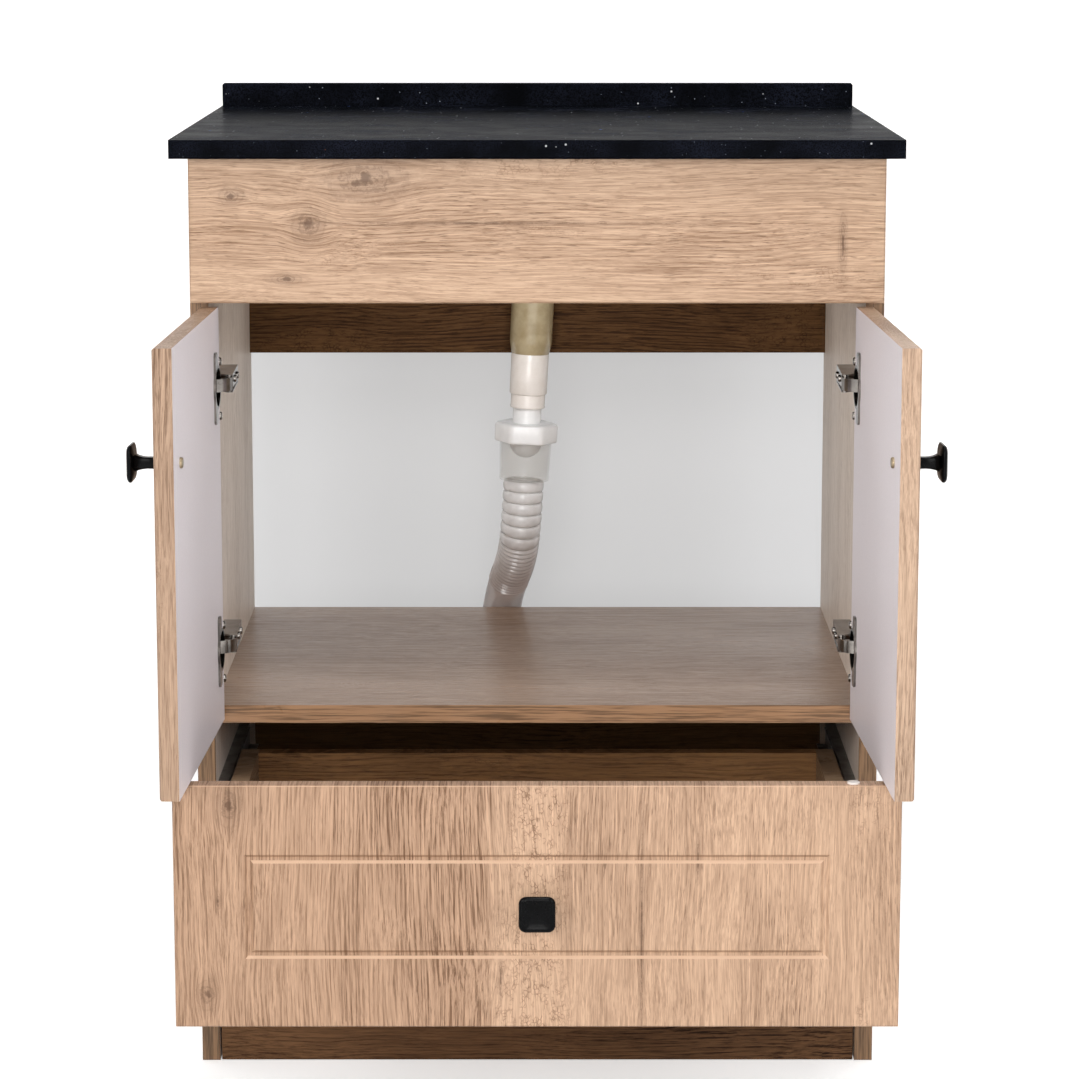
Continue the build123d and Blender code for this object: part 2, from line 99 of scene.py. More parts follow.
# %% Turn a bmesh into a finished piece
MM = 1000.0
FRONT_WAY = Vector((0.0, -1.0, 0.0))


def finish_piece(bm, name, body, finishes, stands_for=(), sharp=35.0, place=Matrix()):
    """Turn the faces outward, make the object in its place, shade and finish it and tie it to a body."""
    bmesh.ops.recalc_face_normals(bm, faces=bm.faces[:])
    bmesh.ops.transform(bm, matrix=place, verts=bm.verts[:])
    mesh = bpy.data.meshes.new(name)
    bm.to_mesh(mesh)
    bm.free()
    mesh.shade_smooth()
    mesh.set_sharp_from_angle(angle=math.radians(sharp))
    piece = bpy.data.objects.new(name, mesh)
    bpy.context.collection.objects.link(piece)
    for finish in finishes:
        mesh.materials.append(finish)
    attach(piece, body)
    if stands_for:
        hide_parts(*stands_for)
    return piece


def linear(red, green, blue):
    """A colour given as 0 to 255 screen values, in the linear light that shaders use."""
    parts = []
    for value in (red, green, blue):
        share = value / 255.0
        parts.append(share / 12.92 if share <= 0.04045 else ((share + 0.055) / 1.055) ** 2.4)
    return (*parts, 1.0)


def facing_matrix(origin, outward):
    """Z along outward, Y up."""
    up = Vector((0.0, 0.0, 1.0))
    right = up.cross(outward).normalized()
    return Matrix.Translation(origin) @ Matrix((right, up, outward)).transposed().to_4x4()


def grow_ring(bm, edges):
    """Extrude a ring of edges in place; gives the new ring's vertices and edges."""
    grown = bmesh.ops.extrude_edge_only(bm, edges=edges)["geom"]
    ring = [item for item in grown if isinstance(item, bmesh.types.BMVert)]
    ring_edges = [item for item in grown if isinstance(item, bmesh.types.BMEdge)
                  and item.verts[0] in ring and item.verts[1] in ring]
    return ring, ring_edges


# %% [markdown]
# ## Helpers for node trees
# A finish is a small sum of noises, masks and colours. Each helper makes one node and links it, so a
# pattern reads like arithmetic and not like wiring. A socket knows the tree that it is in, so the helpers
# put a new node into the tree of the sockets that feed it.


# %% Make nodes in one line each
def new_group(name, inputs, outputs):
    """An empty shader group with named sockets, what comes into it and the node that takes its result."""
    group = bpy.data.node_groups.new(name, "ShaderNodeTree")
    for socket_name, kind, value in inputs:
        socket = group.interface.new_socket(name=socket_name, in_out="INPUT", socket_type=kind)
        if value is not None:
            socket.default_value = value
    for socket_name, kind in outputs:
        group.interface.new_socket(name=socket_name, in_out="OUTPUT", socket_type=kind)
    return group, group.nodes.new("NodeGroupInput").outputs, group.nodes.new("NodeGroupOutput")


def feed(node, inputs):
    """Feed a node's inputs, by name or number: sockets are linked, plain values are set."""
    for key, value in inputs.items():
        if isinstance(value, bpy.types.NodeSocket):
            node.id_data.links.new(value, node.inputs[key])
        else:
            node.inputs[key].default_value = value
    return node


def fed_node(kind, inputs):
    """A new node in the tree of the sockets that feed it."""
    tree = next(value.id_data for value in inputs.values() if isinstance(value, bpy.types.NodeSocket))
    return feed(tree.nodes.new(kind), inputs)


def maths(operation, *values, clamp=False):
    """One Math node; plain numbers and sockets may both be given."""
    node = fed_node("ShaderNodeMath", dict(enumerate(values)))
    node.operation = operation
    node.use_clamp = clamp
    return node.outputs[0]


def times(first, second):
    """The product of two values."""
    return maths("MULTIPLY", first, second)


def plus(first, second, clamp=False):
    """The sum of two values."""
    return maths("ADD", first, second, clamp=clamp)


def vector_maths(operation, *values):
    """One Vector Math node; gives a vector, or a number for a length or a dot product."""
    node = fed_node("ShaderNodeVectorMath", dict(enumerate(values)))
    node.operation = operation
    return node.outputs["Value" if operation in ("LENGTH", "DOT_PRODUCT") else "Vector"]


def scale_vector(vector, scale):
    """A vector times a number."""
    node = vector.id_data.nodes.new("ShaderNodeVectorMath")
    node.operation = "SCALE"
    return feed(node, {0: vector, "Scale": scale}).outputs["Vector"]


def noise_node(source, stretch, detail, roughness):
    """A Noise node on a vector that is first scaled along each axis."""
    scaled = vector_maths("MULTIPLY", source, stretch)
    return fed_node("ShaderNodeTexNoise",
                    {"Vector": scaled, "Scale": 1.0, "Detail": detail, "Roughness": roughness})


def stretched_noise(source, stretch, detail, roughness):
    """The grey value of such a noise."""
    return noise_node(source, stretch, detail, roughness).outputs["Fac"]


def split_axes(vector):
    """The X, Y and Z of a vector, as named outputs."""
    return fed_node("ShaderNodeSeparateXYZ", {"Vector": vector}).outputs


def remap(value, low, high, to_low=0.0, to_high=1.0):
    """Map Range with clamping and a smooth step."""
    node = fed_node("ShaderNodeMapRange", {"Value": value, "From Min": low, "From Max": high,
                                           "To Min": to_low, "To Max": to_high})
    node.interpolation_type = "SMOOTHSTEP"
    return node.outputs["Result"]


def blend_colours(share, first, second):
    """Mix two colours; each may be a socket or a plain colour."""
    node = share.id_data.nodes.new("ShaderNodeMix")
    node.data_type = "RGBA"
    return feed(node, {0: share, 6: first, 7: second}).outputs[2]


def bump_normal(height, strength, relief):
    """The normal of a surface with a small relief."""
    bump = fed_node("ShaderNodeBump", {"Height": height, "Strength": strength, "Distance": relief})
    return bump.outputs["Normal"]


def group_node(group, inputs):
    """A node that uses a group."""
    node = inputs["Vector"].id_data.nodes.new("ShaderNodeGroup")
    node.node_tree = group
    return feed(node, inputs)


def new_finish(name):
    """A new material, its shader and its coordinates."""
    material = bpy.data.materials.new(name)
    material.use_nodes = True
    tree_nodes = material.node_tree.nodes
    return material, tree_nodes["Principled BSDF"], tree_nodes.new("ShaderNodeTexCoord").outputs


# %% [markdown]
# ## The oak look
# The boards are covered with a printed oak foil: a warm ground that drifts lighter and darker, grain
# lines a few millimetres apart that sway a little and break up, pale streaks and finer fibres between
# them, short dark pores and paler patches that are crackled like old paint. A sine wave across the board
# gives the even spacing of yearly rings, noise that is stretched along the grain breaks them up, and the
# crackle is the seams between Voronoi cells. It is one node group, so each board has its own colours and
# direction of grain without drawing the pattern twice.

# %% Let the grain sway
oak_group, oak_in, oak_out = new_group(
    "oak_figure",
    [("Vector", "NodeSocketVector", None), ("Light", "NodeSocketColor", linear(222, 190, 160)),
     ("Dark", "NodeSocketColor", linear(178, 143, 115)), ("Pore", "NodeSocketColor", linear(128, 96, 70)),
     ("Figure", "NodeSocketFloat", 1.0), ("Patch", "NodeSocketFloat", 0.0)],
    [("Color", "NodeSocketColor"), ("Height", "NodeSocketFloat"), ("Tone", "NodeSocketFloat")],
)
SWAY = (0.0, 0.034, 0.034)
DRIFT_CELLS = (3.0, 7.0, 7.0)
drift = noise_node(oak_in["Vector"], DRIFT_CELLS, 2.0, 0.5)
grain = vector_maths("MULTIPLY_ADD", drift.outputs["Color"], SWAY, oak_in["Vector"])
print("oak group inputs", len(oak_in) - 1)

# %% Draw the layers of the figure
# Each layer: cells in a metre along and across the grain, detail, roughness, the noise's range, least value
FIGURE_LAYERS = {
    "broad": (2.2, 8.0, 3.0, 0.55, 0.3, 0.72, 0.0),
    "zone": (2.0, 8.0, 2.0, 0.5, 0.35, 0.65, 0.45),
    "flames": (5.0, 150.0, 3.0, 0.6, 0.4, 0.62, 0.0),
    "fibres": (34.0, 1300.0, 2.0, 0.6, 0.44, 0.58, 0.0),
    "breaks": (34.0, 620.0, 2.0, 0.5, 0.34, 0.56, 0.3),
    "pores": (80.0, 1300.0, 2.0, 0.5, 0.58, 0.7, 0.0),
    "rough_zone": (3.0, 15.0, 2.0, 0.5, 0.62, 0.74, 0.0),
    "crackle_zone": (90.0, 160.0, 2.0, 0.6, 0.44, 0.6, 0.0),
}


def figure_layer(name):
    """One layer of the oak figure as a mask."""
    along, across, detail, roughness, low, high, least = FIGURE_LAYERS[name]
    noise = stretched_noise(grain, (along, across, across), detail, roughness)
    return remap(noise, low, high, least, 1.0)


RING_SPACING = 0.0040
RING_WANDER = 16.0
RING_STRENGTH = 0.06
WANDER_CELLS = (7.0, 70.0, 70.0)
STRAND_CELLS = (8.0, 720.0, 720.0)
CRACKLE_CELLS = (260.0, 380.0, 380.0)
LINE_RANGE, PALE_RANGE, SEAM_RANGE = (0.5, 0.58), (0.34, 0.46), (0.02, 0.16)
broad = figure_layer("broad")
zone = figure_layer("zone")
flames = figure_layer("flames")
axes = split_axes(grain)
rings = times(plus(axes["Y"], axes["Z"]), math.tau / RING_SPACING)
wander = times(stretched_noise(grain, WANDER_CELLS, 3.0, 0.6), RING_WANDER)
ripple = maths("SINE", plus(rings, wander))
strands = plus(stretched_noise(grain, STRAND_CELLS, 5.0, 0.7), times(ripple, RING_STRENGTH))
lines = remap(strands, *LINE_RANGE)
pale = remap(strands, *PALE_RANGE, 1.0, 0.0)
fibres = figure_layer("fibres")
breaks = figure_layer("breaks")
pores = figure_layer("pores")
patch = maths("MAXIMUM", figure_layer("rough_zone"), oak_in["Patch"])
cell_place = vector_maths("MULTIPLY", grain, CRACKLE_CELLS)
cells = fed_node("ShaderNodeTexVoronoi", {"Vector": cell_place, "Scale": 1.0})
cells.feature = "DISTANCE_TO_EDGE"
seams = remap(cells.outputs["Distance"], *SEAM_RANGE, 1.0, 0.0)
crackle = times(seams, figure_layer("crackle_zone"))
print("figure layers", len(FIGURE_LAYERS))

# %% Mix the layers into a colour, a height and a tone
LINE_SHARE = 0.66
BROAD_SHARE = 0.3
FIBRE_SHARE = 0.24
FLAME_SHARE = 0.14
PIT_SHARE = 0.5
PORE_SHARE = 0.6
WORN_SHARE = 0.4
PALE_LIFT = 1.16
worn = remap(patch, 0.0, 1.0, 1.0, WORN_SHARE)
line_share = times(times(lines, times(breaks, worn)), times(zone, oak_in["Figure"]))
pit_share = times(times(crackle, patch), PIT_SHARE)
fine_share = plus(times(fibres, FIBRE_SHARE), times(times(flames, worn), FLAME_SHARE))
soft_share = plus(times(times(broad, worn), BROAD_SHARE), fine_share)
sharp_share = plus(times(line_share, LINE_SHARE), pit_share)
dark_share = plus(soft_share, sharp_share, clamp=True)
ground = blend_colours(dark_share, oak_in["Light"], oak_in["Dark"])
lift = remap(times(pale, zone), 0.0, 1.0, 1.0, PALE_LIFT)
lit = scale_vector(ground, lift)
pore_mask = times(pores, times(zone, PORE_SHARE))
hollows = plus(line_share, plus(pore_mask, pit_share))
feed(oak_out, {"Color": blend_colours(pore_mask, lit, oak_in["Pore"]),
               "Height": maths("SUBTRACT", 1.0, hollows), "Tone": dark_share})
print("oak group nodes", len(oak_group.nodes))

# %% [markdown]
# ## Knots and cracks
# The foil is printed with a few knots and hairline cracks. A knot is a small ragged brown eye in a soft
# shade with faint rings, and the grain flows round it. So this second group gives a mask for the colour
# and a shift for the grain's coordinates. It has a centre, a stretch and a size, so it can be set down
# wherever the picture shows a knot. A very narrow stretch and no bend turn the eye into a crack.

# %% Build the knot as a node group
KNOT_RAG = 1.5
KNOT_RAG_CELLS = (130.0, 130.0, 130.0)
KNOT_RING_TURN = 11.0
# Fades outwards, counted in sizes of the knot: from, to, strength at the start, strength at the end
EYE_FADE = (0.2, 0.7, 0.8, 0.0)
KNOT_RING_FADE = (0.4, 2.2, 0.24, 0.0)
HALO_FADE = (0.2, 2.2, 0.3, 0.0)
BEND_FADE = (0.0, 3.0, -1.0, 0.0)
knot_group, knot_in, knot_out = new_group(
    "oak_knot",
    [("Vector", "NodeSocketVector", None), ("Centre", "NodeSocketVector", (0.0, 0.0, 0.0)),
     ("Stretch", "NodeSocketVector", (1.0, 1.0, 1.0)), ("Size", "NodeSocketFloat", 0.02),
     ("Bend", "NodeSocketFloat", 0.6)],
    [("Mask", "NodeSocketFloat"), ("Shift", "NodeSocketVector")],
)
from_centre = vector_maths("SUBTRACT", knot_in["Vector"], knot_in["Centre"])
shaped = vector_maths("MULTIPLY", from_centre, knot_in["Stretch"])
radius = maths("DIVIDE", vector_maths("LENGTH", shaped), knot_in["Size"])
ragged = stretched_noise(knot_in["Vector"], KNOT_RAG_CELLS, 4.0, 0.7)
rag = times(maths("SUBTRACT", ragged, 0.5), KNOT_RAG)
reach = plus(radius, rag)
eye = remap(reach, *EYE_FADE)
wave = maths("SINE", times(reach, KNOT_RING_TURN))
knot_rings = times(remap(wave, 0.0, 1.0), remap(reach, *KNOT_RING_FADE))
halo = plus(knot_rings, remap(reach, *HALO_FADE))
knot_mask = maths("MAXIMUM", eye, halo)
push = times(remap(radius, *BEND_FADE), knot_in["Bend"])
feed(knot_out, {"Mask": knot_mask, "Shift": scale_vector(from_centre, push)})
print("knot group nodes", len(knot_group.nodes))

# %% [markdown]
# ## Board finishes
# Every board uses the oak group. What differs is the direction of the grain, the colours, how much the
# foil shines, on the doors the plain grey lining of the inner face, and on the side panels a paler inside,
# which is painted light against the cabinet's shade. Which face is which comes from the surface normal in
# the board's own space, so a door keeps its lining inside however far it swings.
# Squeezing the coordinate through the board's thickness makes the foil run on into the routed groove.
# The drawer front is printed as two planks, the left one more lined and darker, partly by its own print
# and partly as painted shade of light from the right, with a crackled band between. On its slanting
# ledges a painted highlight lies where they look up and painted shade where they look down, which draws
# the two fine lines of the groove.

# %% Tell a board's faces and ways apart
FACE_LIMIT = 0.6
THIN = 0.03
FLATTEN = {"x": (THIN, 1.0, 1.0), "y": (1.0, THIN, 1.0), "z": (1.0, 1.0, THIN), "none": (1.0, 1.0, 1.0)}
QUARTER = math.radians(90.0)
GRAIN_TURNS = {"x": (0.0, 0.0, 0.0), "y": (0.0, 0.0, QUARTER), "z": (0.0, QUARTER, 0.0)}


def face_mask(place, way):
    """One on the faces that look along a direction, zero on the others."""
    return maths("GREATER_THAN", vector_maths("DOT_PRODUCT", place["Normal"], way), FACE_LIMIT)


# %% Set down knots, planks, ledges and linings
def bend_round_knots(place, knots):
    """The coordinate bent round each knot, and the knots' masks; a knot is (centre, stretch, size, bend)."""
    bent = place["Object"]
    masks = []
    for centre, stretch, size, bend in knots:
        knot = group_node(knot_group, {"Vector": place["Object"], "Centre": centre,
                                       "Stretch": stretch, "Size": size, "Bend": bend})
        masks.append(knot.outputs["Mask"])
        bent = vector_maths("ADD", bent, knot.outputs["Shift"])
    return bent, masks


FRAY_CELLS = (60.0, 1.0, 14.0)
FRAY_WIDTH = 0.03
BAND_FADE = 0.022
PLANK_FADE = 0.012
RIGHT_FIGURE, LEFT_FIGURE = 0.42, 1.4


def lay_planks(place, oak, band, light, figure_share):
    """Two planks and a crackled band between; band is (x, half width, light colour of the left plank)."""
    middle, half, left_light = band
    across = split_axes(place["Object"])["X"]
    aside = maths("ABSOLUTE", maths("SUBTRACT", across, middle))
    fray = times(stretched_noise(place["Object"], FRAY_CELLS, 2.0, 0.5), FRAY_WIDTH)
    crackled = remap(plus(aside, fray), half, half + BAND_FADE, 1.0, 0.0)
    edge = middle - half
    left = remap(plus(across, fray), edge - PLANK_FADE, edge + PLANK_FADE, 1.0, 0.0)
    figure = remap(left, 0.0, 1.0, RIGHT_FIGURE * figure_share, LEFT_FIGURE * figure_share)
    # The left plank's darker colour is partly its own print and partly painted shade of light from the right
    feed(oak, {"Patch": crackled, "Light": blend_colours(left, light, left_light), "Figure": figure})


# How steeply a ledge looks up or down: the slants begin and end within these
SLANT_FROM, SLANT_TO = (0.55, 0.62), (0.75, 0.85)
# Share of the painted shade on the slants that look down; the pale on upward slants is a painted highlight
LEDGE_SHADE_SHARE = 0.36


def paint_ledge_light_and_shade(place, colour, ledge_highlight, dark):
    """A painted highlight on the slanting faces that look up, painted shade on those that look down."""
    upward = split_axes(place["Normal"])["Z"]
    tilt = maths("ABSOLUTE", upward)
    slant = times(remap(tilt, *SLANT_FROM), remap(tilt, *SLANT_TO, 1.0, 0.0))
    pale = times(slant, maths("GREATER_THAN", upward, 0.0))
    ledge_shade = times(slant, maths("LESS_THAN", upward, 0.0))
    colour = blend_colours(pale, colour, ledge_highlight)
    return blend_colours(times(ledge_shade, LEDGE_SHADE_SHARE), colour, dark)


# Cells in a metre, the faded colour's share of brightness, and the noise's range
LINING_MOTTLE = ((900.0, 900.0, 900.0), 0.93, 0.3, 0.7)
EDGE_FADE = (0.42, 0.42, 0.64)


def line_face(place, mask, colour, lining, edge_grain):
    """A lining with a fine mottle on the masked face, or an edge strip with a grain of its own."""
    cells, fade, low, high = (edge_grain, *EDGE_FADE) if edge_grain else LINING_MOTTLE
    mottle = stretched_noise(place["Object"], cells, 3.0, 0.65)
    faded = tuple(fade * part for part in lining[:3]) + (1.0,)
    lined_colour = blend_colours(remap(mottle, low, high), lining, faded)
    return blend_colours(mask, colour, lined_colour)


# %% Make an oak board finish
OAK_BUMP = 0.4
OAK_RELIEF = 0.0008
COAT_ROUGHNESS = 0.25
SMOOTHER, ROUGHER = 0.05, 0.08


def oak_finish(name, grain_way, light, dark, pore_colour, roughness=0.45, shift=(0.0, 0.0, 0.0),
               through="none", ior=1.4, figure_share=1.0, knots=(), band=None, ledge_highlight=None, lined=None,
               lining=None, edge_grain=None, inside=None, coat=0.0):
    """Oak foil with its grain along an axis.

    lined is the way that a lined face looks; inside is the way that a face with painted light looks, and its
    two paler colours.
    """
    material, shader, place = new_finish(name)
    bent, masks = bend_round_knots(place, knots)
    turn = fed_node("ShaderNodeMapping", {"Vector": bent, "Rotation": GRAIN_TURNS[grain_way],
                                          "Location": shift, "Scale": FLATTEN[through]})
    oak = group_node(oak_group, {"Vector": turn.outputs["Vector"], "Light": light, "Dark": dark,
                                 "Pore": pore_colour, "Figure": figure_share})
    if band is not None:
        lay_planks(place, oak, band, light, figure_share)
    if inside is not None:
        way, inside_light, inside_dark = inside
        mask = face_mask(place, way)
        feed(oak, {"Light": blend_colours(mask, light, inside_light),
                   "Dark": blend_colours(mask, dark, inside_dark)})
    colour = oak.outputs["Color"]
    for mask in masks:
        colour = blend_colours(mask, colour, pore_colour)
    if ledge_highlight is not None:
        colour = paint_ledge_light_and_shade(place, colour, ledge_highlight, dark)
    height = oak.outputs["Height"]
    if lined is not None:
        mask = face_mask(place, lined)
        colour = line_face(place, mask, colour, lining, edge_grain)
        height = times(height, maths("SUBTRACT", 1.0, mask))
    rough = remap(oak.outputs["Tone"], 0.0, 1.0, roughness - SMOOTHER, roughness + ROUGHER)
    feed(shader, {"Base Color": colour, "Roughness": rough, "IOR": ior, "Coat Weight": coat,
                  "Coat Roughness": COAT_ROUGHNESS, "Normal": bump_normal(height, OAK_BUMP, OAK_RELIEF)})
    return material


# %% Finish the fronts
APRON_KNOTS = [
    ((-0.196, -0.026, 0.751), (0.9, 1.0, 0.9), 0.010, 0.7),
    ((-0.147, -0.026, 0.789), (0.5, 1.0, 0.9), 0.013, 0.6),
    ((-0.262, -0.026, 0.775), (0.8, 1.0, 1.2), 0.007, 0.7),
    ((0.262, -0.026, 0.735), (4.0, 1.0, 0.5), 0.011, 0.0),
    ((-0.05, -0.026, 0.752), (0.09, 1.0, 7.0), 0.010, 0.0),
    ((-0.215, -0.026, 0.704), (0.6, 1.0, 1.6), 0.006, 0.4),
]
DRAWER_KNOTS = [
    ((0.086, -0.248, 0.190), (6.0, 1.0, 0.11), 0.010, 0.0),
    ((0.132, -0.248, 0.250), (5.0, 1.0, 0.5), 0.008, 0.0),
    ((-0.030, -0.248, 0.150), (6.0, 1.0, 0.6), 0.010, 0.0),
    ((-0.272, -0.248, 0.135), (0.9, 1.0, 0.6), 0.006, 0.6),
    ((-0.252, -0.248, 0.295), (1.2, 1.0, 0.6), 0.009, 0.6),
    ((-0.262, -0.248, 0.215), (2.5, 1.0, 0.8), 0.005, 0.0),
]
front_pore = linear(86, 58, 38)
apron_oak = oak_finish(
    "apron_oak", "x", linear(203, 171, 143), linear(126, 93, 67), front_pore, shift=(0.3, 0.1, 0.2),
    through="y", figure_share=0.5, knots=APRON_KNOTS)
# Left plank darker partly as painted shade; the ledge colour is a painted highlight on the groove's lower
# wall
drawer_oak = oak_finish(
    "drawer_front_oak", "z", linear(208, 173, 144), linear(114, 82, 58), front_pore, shift=(0.11, 0.3, 0.4),
    through="y", band=(0.0, 0.026, linear(189, 154, 126)), ledge_highlight=linear(204, 170, 142), knots=DRAWER_KNOTS)
lining_grey = linear(240, 233, 237)
# The left door's foil is darker than the right's: painted shade of light that falls from the right
left_door_oak = oak_finish(
    "left_door_oak", "z", linear(182, 152, 127), linear(104, 76, 55), front_pore, shift=(0.4, 0.1, 0.2),
    lined=(0.99939, -0.0349, 0.0), lining=lining_grey)
right_door_oak = oak_finish(
    "right_door_oak", "z", linear(196, 166, 141), linear(114, 85, 62), front_pore, shift=(0.2, 0.4, 0.1),
    lined=(-0.99939, -0.0349, 0.0), lining=lining_grey)
print("fronts finished")

# %% Finish the carcass and the drawer box
front_edge = (0.0, -1.0, 0.0)
side_oaks = {}
for side, inward_x in (("left", 1.0), ("right", -1.0)):
    side_oaks[side] = oak_finish(
        f"{side}_side_oak", "z", linear(202, 170, 143), linear(126, 94, 69), linear(104, 80, 60),
        # The darker front edge colour is painted shade where the drawer front shades the side panels
        shift=(0.5, 0.2, 0.1), through="x", lined=front_edge, lining=linear(142, 110, 81),
        edge_grain=(520.0, 520.0, 16.0),
        # The paler inner face is painted light that lifts it out of the cabinet's shade
        inside=((inward_x, 0.0, 0.0), linear(234, 221, 208), linear(190, 174, 159)))
shelf_oak = oak_finish(
    "shelf_oak", "x", linear(168, 140, 118), linear(126, 99, 78), linear(94, 71, 54), roughness=0.32,
    shift=(0.1, 0.6, 0.3), through="z", lined=front_edge, lining=linear(172, 132, 98),
    edge_grain=(16.0, 520.0, 520.0), coat=0.2)
# Rail and plinth are a dark oak, made darker still as painted shade of the cabinet's inside and the drawer's
# overhang
rail_oak = oak_finish(
    "rail_oak", "x", linear(98, 68, 38), linear(52, 32, 16), linear(28, 16, 8), roughness=0.6,
    shift=(0.7, 0.2, 0.2), through="y", ior=1.2)
plinth_oak = oak_finish(
    "plinth_oak", "x", linear(122, 88, 60), linear(44, 27, 16), linear(26, 15, 9), roughness=0.6,
    shift=(0.2, 0.3, 0.9), through="y", ior=1.2)
drawer_side_oak = oak_finish(
    "drawer_side_oak", "y", linear(150, 125, 100), linear(112, 88, 66), linear(80, 60, 42),
    shift=(0.2, 0.8, 0.1), through="x", ior=1.3)
# The drawer's back and bottom are darker brown as painted shade inside the drawer
drawer_back_oak = oak_finish(
    "drawer_back_oak", "x", linear(150, 110, 70), linear(94, 64, 37), linear(58, 38, 20),
    shift=(0.6, 0.4, 0.3), through="y", ior=1.3)
drawer_bottom_oak = oak_finish(
    "drawer_bottom_oak", "x", linear(146, 108, 70), linear(96, 66, 39), linear(60, 40, 22),
    shift=(0.1, 0.4, 0.3), through="z", ior=1.3)
print("oak finishes", len([finish for finish in bpy.data.materials if finish.name.endswith("oak")]))

# %% [markdown]
# ## Black stone
# The counter is cast from resin and ground stone: navy black, polished, with bright specks set in it.
# Voronoi cells place the specks, a random value per cell decides which of them catch light, and a few
# larger ones glint blue or amber. A cloudy noise and dark granules a millimetre apart keep the ground
# from looking like black paint. A low index of refraction keeps the white studio out of the polish.

# %% Make the stone finish
STONE_IOR = 1.01
SPECK_CORE = 0.6
# Cells in a metre, radius as a share of a cell, chance that a cell has a speck
FINE_SPECKS, BOLD_SPECKS, GLINTS = (300.0, 0.17, 0.14), (120.0, 0.13, 0.2), (28.0, 0.05, 0.5)
CLOUD_CELLS, CLOUD_RANGE = (18.0, 18.0, 18.0), (0.3, 0.75)
GRANULE_CELLS, GRANULE_RANGE = (850.0, 850.0, 850.0), (0.46, 0.58)
POLISH = (0.2, 0.8, 0.2, 0.3)
stone, stone_shader, stone_coordinates = new_finish("speckled_stone")
stone_place = stone_coordinates["Object"]


def speck_layer(scale, radius, chance):
    """A mask of round specks, and a random value for each speck's hue."""
    cells = fed_node("ShaderNodeTexVoronoi", {"Vector": stone_place, "Scale": scale})
    dot = remap(cells.outputs["Distance"], radius * SPECK_CORE, radius, 1.0, 0.0)
    pick = fed_node("ShaderNodeSeparateColor", {"Color": cells.outputs["Color"]})
    chosen = maths("GREATER_THAN", pick.outputs["Red"], 1.0 - chance)
    bright = times(times(dot, chosen), pick.outputs["Green"])
    return bright, pick.outputs["Blue"]


fine_specks = speck_layer(*FINE_SPECKS)[0]
bold_specks = speck_layer(*BOLD_SPECKS)[0]
glints, glint_hue = speck_layer(*GLINTS)
cloud = stretched_noise(stone_place, CLOUD_CELLS, 4.0, 0.6)
cloud_mask = remap(cloud, *CLOUD_RANGE)
stone_cloud = blend_colours(cloud_mask, linear(11, 12, 15), linear(27, 30, 40))
granules = stretched_noise(stone_place, GRANULE_CELLS, 2.0, 0.6)
granule_mask = remap(granules, *GRANULE_RANGE)
stone_ground = blend_colours(granule_mask, stone_cloud, linear(8, 9, 11))
with_fine = blend_colours(fine_specks, stone_ground, linear(150, 158, 172))
with_bold = blend_colours(bold_specks, with_fine, linear(232, 234, 238))
amber = maths("GREATER_THAN", glint_hue, 0.5)
glint_colour = blend_colours(amber, linear(90, 140, 235), linear(235, 150, 80))
stone_colour = blend_colours(glints, with_bold, glint_colour)
feed(stone_shader, {"Base Color": stone_colour, "Roughness": remap(cloud, *POLISH), "IOR": STONE_IOR})
print("stone nodes", len(stone.node_tree.nodes))

# %% [markdown]
# ## Metal and plastic
# The hinges are nickel-plated pressings, the runners dull zinc, the knobs black lacquer. The waste is
# white and cream PVC, its trap is cloudy clear plastic and its hose grey-white. One group draws the fine
# handling marks that all of them share: a soft blotch for roughness and a tiny orange-peel for bump.

# %% Make a surface-marks group
BLOTCH_CELLS, BLOTCH_RANGE = (70.0, 70.0, 70.0), (0.35, 0.75)
PEEL_CELLS = (900.0, 900.0, 900.0)
mark_group, mark_in, mark_out = new_group(
    "surface_marks",
    [("Vector", "NodeSocketVector", None), ("Base", "NodeSocketColor", (0.5, 0.5, 0.5, 1.0)),
     ("Shade", "NodeSocketColor", (0.4, 0.4, 0.4, 1.0)), ("Low", "NodeSocketFloat", 0.3),
     ("High", "NodeSocketFloat", 0.5)],
    [("Color", "NodeSocketColor"), ("Rough", "NodeSocketFloat"), ("Height", "NodeSocketFloat")],
)
blotch = stretched_noise(mark_in["Vector"], BLOTCH_CELLS, 4.0, 0.6)
peel = stretched_noise(mark_in["Vector"], PEEL_CELLS, 2.0, 0.5)
blotch_mask = remap(blotch, *BLOTCH_RANGE)
marked = blend_colours(blotch_mask, mark_in["Base"], mark_in["Shade"])
rough_span = maths("SUBTRACT", mark_in["High"], mark_in["Low"])
mark_rough = plus(mark_in["Low"], times(rough_span, blotch))
feed(mark_out, {"Color": marked, "Rough": mark_rough, "Height": peel})
print("mark group nodes", len(mark_group.nodes))

# %% Make the plain finishes
PEEL_BUMP = 0.05
PEEL_RELIEF = 0.0004


def plain_finish(name, base, shade, rough_low, rough_high, metallic=0.0, alpha=1.0, ior=1.5, shaded_foot=None):
    """A one-material finish with handling marks; a shaded foot is (colour, level, height), painted shade
    fading in below.
    """
    material, shader, coordinates = new_finish(name)
    place = coordinates["Object"]
    marks = group_node(mark_group, {"Vector": place, "Base": base, "Shade": shade, "Low": rough_low,
                                    "High": rough_high})
    colour = marks.outputs["Color"]
    if shaded_foot is not None:
        foot_colour, level, height = shaded_foot
        below = remap(split_axes(place)["Z"], level - height, level, 1.0, 0.0)
        colour = blend_colours(below, colour, foot_colour)
    feed(shader, {"Base Color": colour, "Roughness": marks.outputs["Rough"], "Metallic": metallic,
                  "Alpha": alpha, "IOR": ior,
                  "Normal": bump_normal(marks.outputs["Height"], PEEL_BUMP, PEEL_RELIEF)})
    return material


